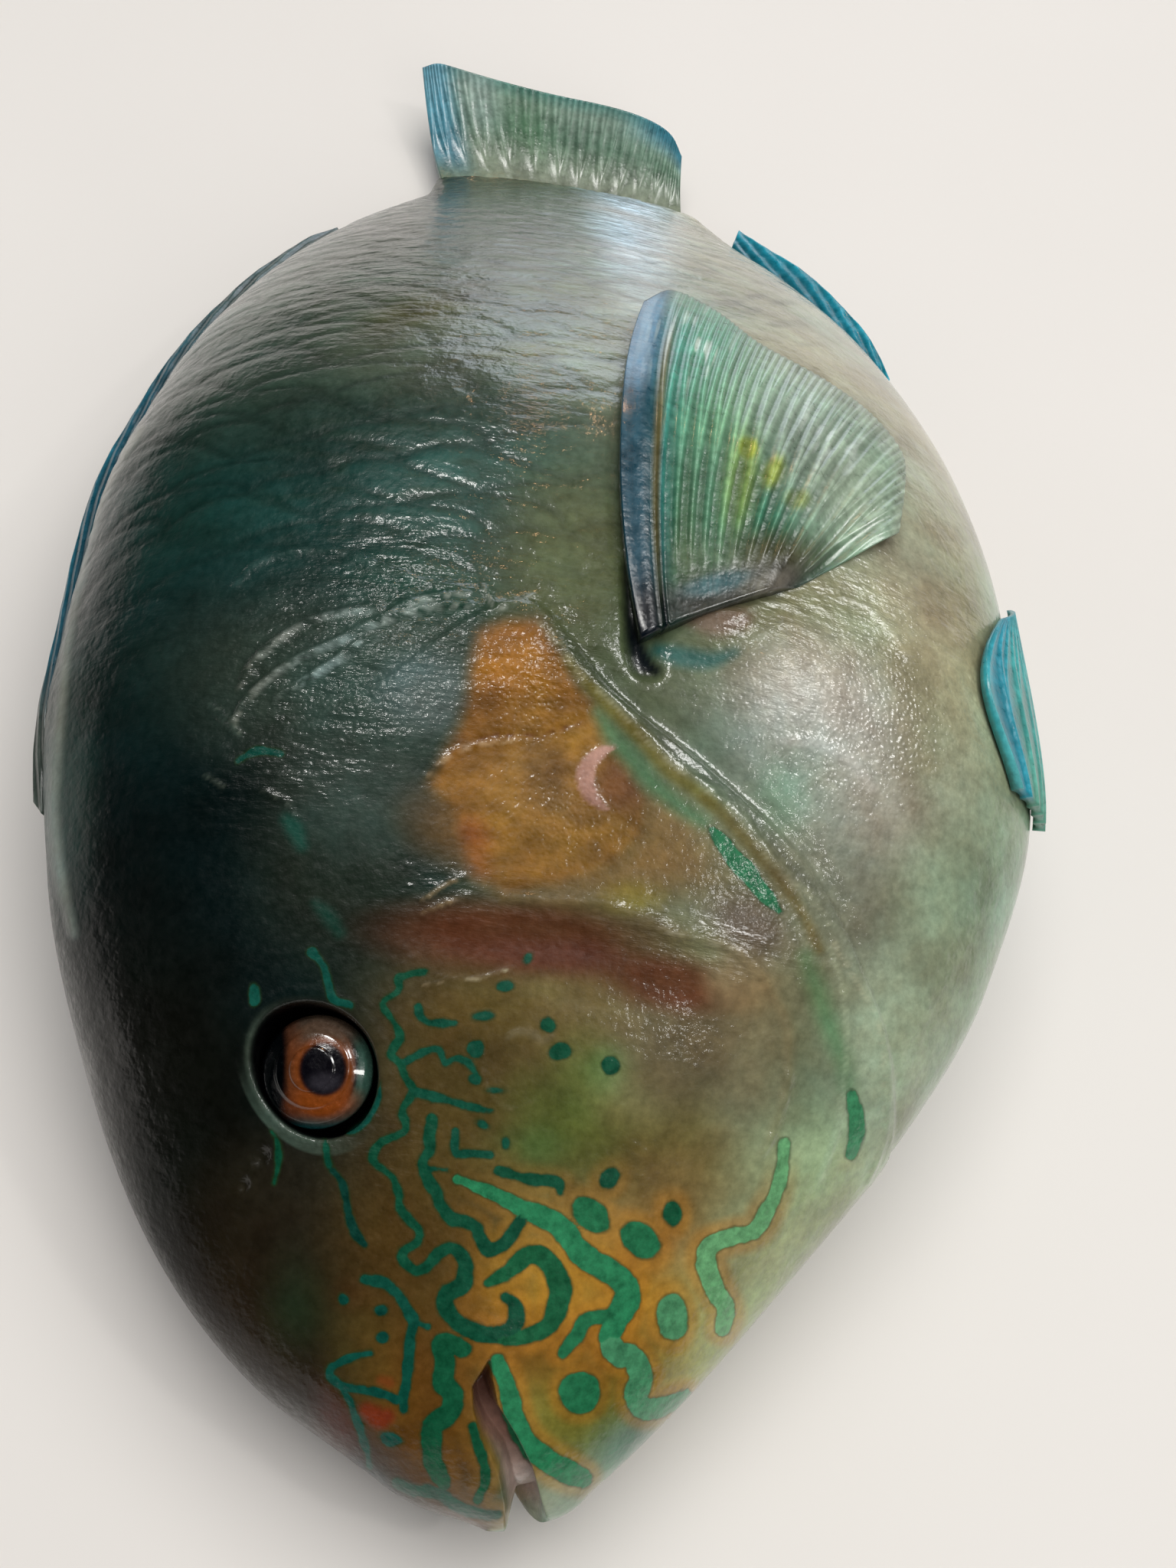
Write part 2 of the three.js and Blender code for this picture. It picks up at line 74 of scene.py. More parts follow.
# The picture's frame and the view of it
FRAME_WIDTH = 1536
FRAME_HEIGHT = 2048
CAMERA_PLACE = (-18.7, -33.1, 290.5)
CAMERA_PITCH = 58.89
CAMERA_YAW = 10.52
CAMERA_ROLL = 16.58
FOCAL_PIXELS = 2300

# How finely the skin is divided
STATIONS = 600
SIDES = 320
STATION_SPREAD = [(0, SNOUT), (0.02, SNOUT + 0.8), (0.06, SNOUT + 4), (0.58, 120), (1, LENGTH)]


def smooth_line(stations):
    """A smooth line through stations that never overshoots them."""
    x, y = np.array(stations, float).T
    width = np.diff(x)
    slope = np.diff(y) / width
    near = 2 * width[1:] + width[:-1]
    far = width[1:] + 2 * width[:-1]
    same = slope[:-1] * slope[1:] > 0
    inner = np.zeros(len(x) - 2)
    inner[same] = (near + far)[same] / (near[same] / slope[:-1][same] + far[same] / slope[1:][same])
    tangent = np.concatenate([slope[:1], inner, slope[-1:]])

    def value(at):
        place = np.clip(at, x[0], x[-1])
        i = np.clip(np.searchsorted(x, place, side="right") - 1, 0, len(width) - 1)
        t = (place - x[i]) / width[i]
        rest = 1 - t
        ends = y[i] * (1 + 2 * t) * rest ** 2 + y[i + 1] * t * t * (3 - 2 * t)
        return ends + width[i] * t * rest * (tangent[i] * rest - tangent[i + 1] * t)

    return value


back = smooth_line(BACK)
belly = smooth_line(BELLY)
half_width = smooth_line(HALF_WIDTH)
widest = smooth_line(WIDEST)
middle_height = smooth_line(MIDDLE_HEIGHT)
head_edge = smooth_line(HEAD_EDGE)

# The solids' own frame, from the back's highest station and the tail's end
SOLID_STATIONS = SNOUT + (LENGTH - SNOUT) * (np.arange(49) / 48) ** 1.35
SHIFT = np.array([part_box("trunk")[0].x / MM + back(SOLID_STATIONS).max(),
                  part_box("tail_stalk")[1].y / MM - LENGTH, 0])


def mix(a, b, t):
    return a + (b - a) * t


FLECK_COUNT = 128
fleck_tones = np.random.default_rng(11).uniform(0, 1, (FLECK_COUNT, FLECK_COUNT))


def fleck_tone(i, j):
    return fleck_tones[i % FLECK_COUNT, j % FLECK_COUNT]


def flecks(x, y, across, down):
    """Smooth random tones from 0 to 1, in cells of that size across and down."""
    i, j = np.floor(x / across).astype(int), np.floor(y / down).astype(int)
    fx, fy = step(0, 1, x / across - i), step(0, 1, y / down - j)
    upper = mix(fleck_tone(i, j), fleck_tone(i + 1, j), fx)
    lower = mix(fleck_tone(i, j + 1), fleck_tone(i + 1, j + 1), fx)
    return mix(upper, lower, fy)


def bump(distance, reach):
    return np.exp(-((distance / reach) ** 2))


def step(low, high, value):
    t = np.clip((value - low) / (high - low), 0, 1)
    return t * t * (3 - 2 * t)


def colour(code):
    """A colour written as six hex digits, as linear light."""
    parts = np.array([int(code[i:i + 2], 16) for i in (0, 2, 4)]) / 255
    return np.where(parts <= 0.04045, parts / 12.92, ((parts + 0.055) / 1.055) ** 2.4)


def distance_to_line(x, y, line):
    """How far (x, y) is from a line of points, and how far along the line, from 0 to 1."""
    nearest = np.full(np.shape(x), np.inf)
    share = np.zeros(np.shape(x))
    count = len(line) - 1
    for i in range(count):
        (ax, ay), (bx, by) = line[i], line[i + 1]
        dx, dy = bx - ax, by - ay
        t = np.clip(((x - ax) * dx + (y - ay) * dy) / (dx * dx + dy * dy + 1e-9), 0, 1)
        away = np.hypot(x - ax - dx * t, y - ay - dy * t)
        closer = away < nearest
        nearest = np.where(closer, away, nearest)
        share = np.where(closer, (i + t) / count, share)
    return nearest, share


def inside_outline(x, y, outline):
    """Signed distance to a closed outline, above 0 inside it."""
    away, _ = distance_to_line(x, y, outline + outline[:1])
    inside = np.zeros(np.shape(x), bool)
    for (ax, ay), (bx, by) in zip(outline, outline[1:] + outline[:1]):
        crosses = (ay > y) != (by > y)
        at = ax + (y - ay) * (bx - ax) / (by - ay + 1e-12)
        inside ^= crosses & (x < at)
    return np.where(inside, away, -away)


def smooth_route(points, pieces=5):
    """More points on a smooth curve through the given ones."""
    p = np.array(points, float)
    if len(p) < 3:
        return [tuple(q) for q in p]
    ends = np.vstack([2 * p[0] - p[1], p, 2 * p[-1] - p[-2]])
    route = []
    for i in range(len(p) - 1):
        a, b, c, d = ends[i:i + 4]
        for t in np.arange(pieces) / pieces:
            cubic = (3 * b - a - 3 * c + d) * t ** 3
            square = (2 * a - 5 * b + 4 * c - d) * t ** 2
            route.append(tuple(0.5 * (2 * b + (c - a) * t + square + cubic)))
    return route + [tuple(p[-1])]


# The camera

def camera_axes():
    pitch, yaw, roll = (math.radians(a) for a in (CAMERA_PITCH, CAMERA_YAW, CAMERA_ROLL))
    forward = np.array([math.sin(yaw) * math.cos(pitch), math.cos(yaw) * math.cos(pitch), -math.sin(pitch)])
    level = np.array([math.cos(yaw), -math.sin(yaw), 0])
    over = np.cross(level, forward)
    right = level * math.cos(roll) + over * math.sin(roll)
    up = over * math.cos(roll) - level * math.sin(roll)
    return right, up, forward


def to_picture(points):
    """The pixels where points of the model, in millimetres, show in the picture."""
    right, up, forward = camera_axes()
    seen = points - np.array(CAMERA_PLACE) - SHIFT
    depth = seen @ forward
    x = FRAME_WIDTH / 2 + FOCAL_PIXELS * (seen @ right) / depth
    y = FRAME_HEIGHT / 2 - FOCAL_PIXELS * (seen @ up) / depth
    return x, y


def make_camera():
    right, up, forward = camera_axes()
    data = bpy.data.cameras.new("camera")
    data.sensor_fit = "VERTICAL"
    data.sensor_height = 36
    data.lens = FOCAL_PIXELS * data.sensor_height / FRAME_HEIGHT
    data.clip_start = 0.01
    camera = bpy.data.objects.new("camera", data)
    turn = Matrix((right, up, -forward)).transposed().to_4x4()
    camera.matrix_world = Matrix.Translation(Vector(SHIFT + CAMERA_PLACE) * MM) @ turn
    bpy.context.scene.collection.objects.link(camera)
    bpy.context.scene.camera = camera


# The body's surface

def flank_points(along, turn):
    """The left flank about the fish's middle plane: x, y and the distance from that plane."""
    middle = widest(along)
    c = np.cos(turn)
    up = middle + np.where(c > 0, back(along) - middle, middle - belly(along)) * c
    return np.stack([-up, along + 0 * turn, half_width(along) * np.sin(turn)], -1)


def flank_normals(along, turn):
    reach, tilt = 0.3, 0.01
    ahead = flank_points(np.minimum(along + reach, LENGTH), turn)
    lengthwise = ahead - flank_points(np.maximum(along - reach, SNOUT), turn)
    around = flank_points(along, turn + tilt) - flank_points(along, turn - tilt)
    normal = np.cross(around, lengthwise)
    return normal / np.maximum(np.linalg.norm(normal, axis=-1, keepdims=True), 1e-9)


def turn_at(along, up):
    middle = widest(along)
    reach = np.where(up > middle, back(along) - middle, middle - belly(along))
    return np.arccos(np.clip((up - middle) / reach, -1, 1))


def body_place(along, turn, side, lift):
    """Points of the model over a flank, with their outward direction. side is 1 left, -1 right."""
    normal = flank_normals(along, turn)
    point = flank_points(along, turn) + normal * np.expand_dims(lift, -1)
    flip = np.array([1, 1, side])
    point, normal = point * flip, normal * flip
    point[..., 2] += middle_height(along)
    return point + SHIFT, normal


def flank_place(along, up, side, lift):
    return body_place(along, turn_at(along, up), side, lift)


# How the skin's grid closes round the eye: (ring, radius) in millimetres
EYE_RINGS = [(0, 0), (14, 7.3), (17, 8.35), (19, 8.75), (21, 9.1), (24, 9.9), (30, 12.4), (62, 26)]
EYE_ROUND = 28
EYE_FREE = 60


def skin_grid():
    """(along, turn) of each skin vertex on the left half, and its ring round the eye."""
    share = np.arange(STATIONS + 1) / STATIONS
    phase = np.pi * np.arange(SIDES + 1) / SIDES
    stations = smooth_line(STATION_SPREAD)(share)
    turns = phase + 0.2 * np.sin(2 * phase)
    along, turn = np.meshgrid(stations, turns, indexing="ij")
    eye_turn = float(turn_at(EYE_PLACE[0], EYE_PLACE[1]))
    i0 = int(np.argmin(abs(stations - EYE_PLACE[0])))
    j0 = int(np.argmin(abs(turns - eye_turn)))
    di, dj = np.meshgrid(np.arange(STATIONS + 1) - i0, np.arange(SIDES + 1) - j0, indexing="ij")
    ring = np.maximum(abs(di), abs(dj))
    angle = np.arctan2(dj, di)
    radius = smooth_line(EYE_RINGS)(np.minimum(ring, EYE_RINGS[-1][0]))
    near = 0.5
    at = flank_points(np.array([EYE_PLACE[0] - near, EYE_PLACE[0] + near]), np.array([eye_turn] * 2))
    stretch = np.linalg.norm(at[1] - at[0]) / (2 * near)
    nudge = 0.01
    at = flank_points(np.array([EYE_PLACE[0]] * 2), np.array([eye_turn - nudge, eye_turn + nudge]))
    sweep = np.linalg.norm(at[1] - at[0]) / (2 * nudge)
    free = step(EYE_ROUND, EYE_FREE, ring)
    along = mix(EYE_PLACE[0] + radius * np.cos(angle) / stretch, along, free)
    turn = mix(eye_turn + radius * np.sin(angle) / sweep, turn, free)
    return along, turn, np.where(ring < EYE_ROUND, radius, 99)


# Scales

SCALE_ROWS = 14
TONE_COLUMNS = 256
TONE_ROWS = 64
scale_tones = np.random.default_rng(7).uniform(0, 1, (TONE_COLUMNS, TONE_ROWS))
# How finely the way round the body is measured
ARC_STATIONS = 160
ARC_STEPS = 90
LAST_CELL = 0.001


def arc_share(along, turn):
    """How far round the section a place is, from 0 at the back to 1 at the belly."""
    steps = np.linspace(0, np.pi, ARC_STEPS + 1)
    stations = np.linspace(0, LENGTH, ARC_STATIONS + 1)
    a, t = np.meshgrid(stations, steps, indexing="ij")
    p = flank_points(a, t)
    lengths = np.cumsum(np.linalg.norm(np.diff(p, axis=1), axis=-1), 1)
    run = np.concatenate([np.zeros((ARC_STATIONS + 1, 1)), lengths], 1)
    run /= np.maximum(run[:, -1:], 1e-6)
    i = np.clip(along / LENGTH * ARC_STATIONS, 0, ARC_STATIONS - LAST_CELL)
    j = np.clip(turn / np.pi * ARC_STEPS, 0, ARC_STEPS - LAST_CELL)
    i0, j0 = i.astype(int), j.astype(int)
    fi, fj = i - i0, j - j0
    low = mix(run[i0, j0], run[i0, j0 + 1], fj)
    return mix(low, mix(run[i0 + 1, j0], run[i0 + 1, j0 + 1], fj), fi)


def scale_field(x, y):
    """Overlapping scales, 1 long and 1 high: how near a place is to a scale's edge, and its tone."""
    shapes = []
    for row_step in (-1, 0, 1):
        row = np.round(y) + row_step
        shift = 0.5 * (row % 2)
        for column_step in (-1, 0, 1):
            column = np.round(x - shift) + column_step
            cx = column + shift
            reach = np.hypot(np.maximum(x - cx, 0) / 0.62, (y - row) / 1.02)
            tone = scale_tones[column.astype(int) % TONE_COLUMNS, row.astype(int) % TONE_ROWS]
            shapes.append((cx, np.where(x - cx > -0.75, reach, 9), tone))
    front = np.full(x.shape, np.inf)
    tone = np.zeros(x.shape)
    for cx, reach, tone_here in shapes:
        covers = (reach < 1) & (cx < front)
        front = np.where(covers, cx, front)
        tone = np.where(covers, tone_here, tone)
    edge = np.zeros(x.shape)
    for cx, reach, _ in shapes:
        edge = np.maximum(edge, bump(reach - 1, 0.13) * (cx <= front))
    return edge, tone


def body_scales(along, turn):
    run = smooth_line([(0, 0), (60, 5.2), (120, 11), (190, 18.5), (247, 26.5), (LENGTH, 36)])
    share = arc_share(along, turn)
    sway = 0.22 * np.sin(0.11 * along + 9 * share) + 0.12 * np.sin(0.37 * along - 23 * share)
    return scale_field(run(along) + sway, share * SCALE_ROWS + 0.8 * sway)


# The head's relief

# The open mouth, as an outline in the picture
GAPE = [(639, 1776), (618, 1811), (620, 1841), (631, 1878), (652, 1919), (660, 1960), (668, 2060),
        (722, 2060), (712, 1985), (702, 1952), (692, 1915), (672, 1874), (648, 1834), (641, 1797)]
# (along, up, reach along, reach up, height) of soft swellings and hollows
SWELLINGS = [(40, -22, 10, 12, 0.6), (84, 30, 12, 16, -0.5), (12, 8, 8, 10, 0.5)]
# (x, y, reach x, reach y, tilt, height) of lumps and hollows in the picture
LUMPS = [(930, 815, 60, 26, -10, 1.5), (1010, 850, 70, 40, 10, 0.9), (845, 850, 22, 40, 0, -1.6),
         (1060, 900, 90, 60, 25, 0.7), (905, 980, 60, 40, 30, -0.5), (968, 1282, 40, 32, 0, 0.9),
         (640, 800, 80, 20, 10, 0.5), (480, 830, 150, 40, -8, 0.5), (690, 900, 60, 60, 0, 0.4),
         (690, 1060, 90, 60, 0, 0.4), (720, 1225, 180, 26, 2, -0.6), (860, 1400, 120, 80, 0, 0.5),
         (1090, 1230, 30, 60, -30, -0.5), (1190, 1330, 40, 160, 15, 0.5), (740, 1330, 60, 24, 0, 0.3),
         (600, 1860, 30, 60, -10, 0.5), (720, 1880, 30, 50, -25, 0.5), (320, 1330, 40, 60, 0, 0.3)]


def skin_relief(along, up, x, y):
    inside = head_edge(up) - along
    span = bump(up + 18, 38)
    flap = 1.5 * bump(np.maximum(inside, 0), 16) * step(-0.7, 0.8, inside)
    relief = span * (flap - 0.6 * bump(inside + 2.2, 2))
    lips, _ = distance_to_line(along, up, LIP_LINE)
    relief += 0.9 * bump(lips, 4.5)
    for s, d, along_reach, up_reach, height in SWELLINGS:
        relief += height * np.exp(-((along - s) / along_reach) ** 2 - ((up - d) / up_reach) ** 2)
    for s, d, radius in NOSTRILS:
        away = np.hypot(along - s, up - d)
        relief += 0.12 * bump(away - radius * 1.3, 0.6) - 0.8 * bump(away, radius)
    for cx, cy, rx, ry, tilt, height in LUMPS:
        dx, dy = spin(x - cx, y - cy, tilt)
        relief += height * np.exp(-(dx / rx) ** 2 - (dy / ry) ** 2)
    for _, _, _, soft, height, route in STROKES:
        if height:
            depth, near = stroke_depth(x, y, route, soft)
            uneven = mix(0.55, 1.3, flecks(x[near], y[near], 24, 16))
            relief[near] += height * uneven * step(-soft, soft, depth)
    return relief


# The eye socket, as (radius, height over the skin) in millimetres
SOCKET = [(0, -9.2), (7.5, -9), (8.2, -8), (8.6, -5), (8.95, -1.3), (9.4, -0.15), (10.6, 0.1),
          (12.4, 0.05), (14, 0)]
socket_depth = smooth_line(SOCKET)


# The skin's colours

GROUND_FRONT = [(0, "7d9a80"), (0.12, "86927a"), (0.3, "75785c"), (0.45, "46543c"), (0.6, "16302a"),
                (0.75, "041616"), (1, "021012")]
GROUND_REAR = [(0, "a3a088"), (0.3, "8f9480"), (0.6, "6f7d6a"), (0.85, "4b5a4c"), (1, "3a4c44")]


def ramp(stops, value):
    places = [p for p, _ in stops]
    codes = np.array([colour(c) for _, c in stops])
    return np.stack([np.interp(value, places, codes[:, k]) for k in range(3)], -1)


# (name, x, y, reach x, reach y, tilt, softness, colour, strength) of patches in the picture
PATCHES = [
    ("nape", 150, 1080, 170, 330, 0, 0.6, "021011", 0.9),
    # painted reflection: the left limb is lightened to stand in for the wet skin's rim reflection
    ("left limb painted reflection", 75, 1000, 40, 200, 0, 0.8, "2a4a44", 0.6),
    ("back", 210, 800, 130, 160, 15, 0.8, "0c2422", 0.8),
    ("forehead", 230, 1480, 150, 320, -18, 0.6, "090b06", 0.95),
    ("temple", 450, 1130, 110, 130, 0, 0.6, "1c241a", 0.8),
    ("shoulder", 470, 880, 190, 110, 0, 0.7, "38483f", 0.85),
    ("slate scale", 558, 905, 62, 50, 0, 0.5, "4b5856", 0.75),
    ("leather", 470, 1030, 92, 72, 0, 0.6, "33413a", 0.75),
    ("green flank", 620, 740, 130, 60, -5, 0.7, "1f4438", 0.8),
    ("mid flank", 430, 620, 240, 120, -8, 0.7, "143832", 0.9),
    ("inner flank", 640, 640, 140, 90, 0, 0.7, "23443c", 0.85),
    ("olive flank", 740, 740, 80, 110, 0, 0.7, "525a38", 0.85),
    ("upper flank", 400, 480, 150, 80, -25, 0.7, "2a3c32", 0.8),
    ("upper inner flank", 580, 430, 130, 60, -10, 0.8, "4a5444", 0.8),
    ("rear back", 560, 290, 130, 80, -20, 0.8, "2a3324", 0.88),
    ("rear middle", 680, 300, 100, 110, -10, 0.8, "384434", 0.88),
    # painted reflection: a near-white blue patch stands in for the glare of a lamp on the wet rear flank
    ("rear painted glare", 825, 250, 46, 120, -12, 0.9, "d4e4f6", 0.95),
    ("rear belly", 970, 390, 110, 110, 30, 0.8, "8a9078", 0.75),
    ("rear speckle", 600, 330, 40, 14, -20, 0.9, "2c3a20", 0.7),
    ("rear speckle low", 660, 250, 50, 14, -10, 0.9, "303c24", 0.7),
    ("rear speckle far", 560, 400, 70, 16, -14, 0.9, "4a4c20", 0.7),
    ("rear speckle right", 720, 380, 50, 14, -4, 0.9, "55602c", 0.6),
    ("rear speckle mid", 700, 460, 60, 12, -4, 0.9, "6c6a3a", 0.5),
    ("rear spot", 885, 252, 40, 20, 25, 0.6, "a0a880", 0.8),
    ("cheek", 760, 1370, 230, 170, 0, 0.6, "66542c", 0.9),
    ("low cheek", 800, 1480, 140, 90, 0, 0.6, "525420", 0.85),
    ("cheek left", 600, 1400, 90, 130, 0, 0.6, "463714", 0.85),
    ("cheek cloud", 735, 1455, 60, 44, 20, 0.9, "3c5a22", 0.45),
    ("cheek cloud high", 760, 1390, 40, 40, 0, 0.9, "3c602c", 0.35),
    ("cheek cloud side", 800, 1400, 26, 30, 0, 0.9, "2e6a34", 0.5),
    ("cheek cloud low", 690, 1500, 40, 26, 0, 0.9, "2c5c2c", 0.5),
    ("cheek cloud far", 850, 1430, 60, 40, 0, 0.9, "7c7850", 0.6),
    ("ochre cheek", 640, 1320, 60, 30, 0, 0.9, "5e4a1c", 0.6),
    ("grey cheek", 900, 1360, 90, 90, 0, 0.6, "55503c", 0.8),
    ("grey corner", 985, 1420, 50, 90, 10, 0.7, "6d6a50", 0.8),
    ("orange cheek", 900, 1560, 90, 80, -20, 0.6, "6e5a30", 0.9),
    ("red-brown band", 680, 1225, 170, 48, 3, 0.5, "4e2610", 0.9),
    ("crimson", 730, 1250, 110, 22, 6, 0.7, "4c1f10", 0.7),
    ("red-brown band end", 875, 1285, 80, 34, 8, 0.5, "54280f", 0.85),
    ("flesh fold", 968, 1283, 40, 36, 0, 0.6, "7a6a4c", 0.8),
    ("brown corner", 980, 1210, 60, 40, 30, 0.7, "4c3430", 0.7),
    ("yellow corner", 828, 1170, 36, 20, 0, 0.7, "7a741a", 0.8),
    ("snout", 430, 1720, 150, 190, -30, 0.6, "261a0c", 0.9),
    ("snout olive", 490, 1770, 50, 60, 0, 0.8, "4e431e", 0.6),
    ("snout red", 470, 1690, 30, 20, 0, 0.9, "4e2414", 0.5),
    ("snout green", 395, 1690, 40, 60, 0, 0.9, "12301c", 0.5),
    ("lip red", 440, 1860, 24, 40, -20, 0.9, "4e1c10", 0.6),
    ("lip blue", 500, 1940, 50, 16, 25, 0.8, "0c4450", 0.6),
    ("socket front", 430, 1580, 120, 90, 0, 0.8, "2a261a", 0.7),
    ("muzzle", 570, 1640, 120, 190, 0, 0.6, "4c3812", 0.9),
    ("upper lip", 560, 1860, 70, 120, -20, 0.6, "583c10", 0.9),
    ("chin", 780, 1730, 150, 140, -20, 0.5, "8c6212", 0.95),
    ("chin fold", 700, 1760, 50, 60, 0, 0.6, "64480e", 0.8),
    ("low chin", 765, 1858, 110, 60, 0, 0.7, "6a6a22", 0.9),
    ("side chin", 900, 1760, 50, 90, 10, 0.7, "8f8740", 0.85),
    ("far chin", 970, 1720, 60, 90, 25, 0.7, "8b9a6c", 0.8),
    ("lip end", 830, 1890, 60, 40, -20, 0.7, "3f6858", 0.8),
    ("pink", 860, 1090, 90, 50, 40, 0.6, "76582e", 0.8),
    ("amber low", 720, 1100, 150, 60, 12, 0.6, "7c5620", 0.8),
    # breast light: partly the breast's own pale grey, partly a painted sheen of its wet glints
    ("breast light", 1050, 940, 90, 90, 20, 0.7, "bdbab2", 0.9),
    ("breast", 950, 970, 90, 60, 30, 0.7, "56685a", 0.7),
    ("breast lilac", 1130, 1040, 120, 90, 35, 0.8, "97938a", 0.75),
    ("breast green", 1040, 1020, 50, 60, 0, 0.8, "66745f", 0.6),
    ("breast mint", 1015, 1045, 30, 40, 0, 0.9, "6a8a70", 0.6),
    ("breast olive", 1190, 960, 30, 70, -20, 0.9, "6c6a4c", 0.6),
    ("breast mauve", 1150, 930, 40, 60, -20, 0.9, "9c948c", 0.6),
    ("breast grey", 1120, 1190, 70, 110, -15, 0.7, "6c6d5e", 0.85),
    # belly mint, belly side, belly light, throat and low throat: partly the skin's own pale colour, partly a
    # painted glare haze
    ("belly mint", 1240, 1180, 70, 130, 10, 0.7, "77856c", 0.8),
    ("belly side", 1240, 880, 70, 170, -15, 0.8, "8f8f74", 0.8),
    ("belly light", 1180, 700, 60, 120, -20, 0.8, "a0957c", 0.7),
    ("throat", 1150, 1400, 70, 170, 15, 0.7, "93a087", 0.85),
    ("cover lower part", 1060, 1400, 45, 160, 5, 0.8, "545a42", 0.75),
    ("low throat", 1050, 1570, 90, 110, 30, 0.6, "959f76", 0.85),
]
# The amber field of the gill cover, as an outline in the picture
AMBER = [(633, 828), (666, 816), (703, 813), (731, 858), (752, 899), (784, 931), (805, 972),
         (825, 1005), (840, 1046), (838, 1090), (800, 1125), (730, 1150), (662, 1165), (625, 1140),
         (608, 1087), (593, 1054), (566, 1024), (584, 985), (605, 950), (615, 910), (622, 864)]
# (distance inside the outline in pixels, colour) of the amber field
AMBER_RAMP = [(-26, "4a5038"), (-6, "5e4a24"), (6, "74501a"), (50, "7c581c"), (110, "745628")]
# (name, x, y, reach x, reach y, tilt, softness, colour, strength) of spots of colour over the amber field
AMBER_PATCHES = [
    ("amber top", 665, 860, 50, 50, 20, 0.6, "8a5a14", 0.8),
    ("amber middle", 640, 1040, 60, 50, 0, 0.8, "7c581a", 0.7),
    ("amber flame", 618, 1110, 24, 36, -15, 0.7, "7e3e14", 0.7),
    ("amber foot", 690, 1120, 80, 30, 0, 0.8, "84601c", 0.6),
    ("amber pink", 812, 1024, 34, 34, 0, 0.6, "5e3a20", 0.8),
]

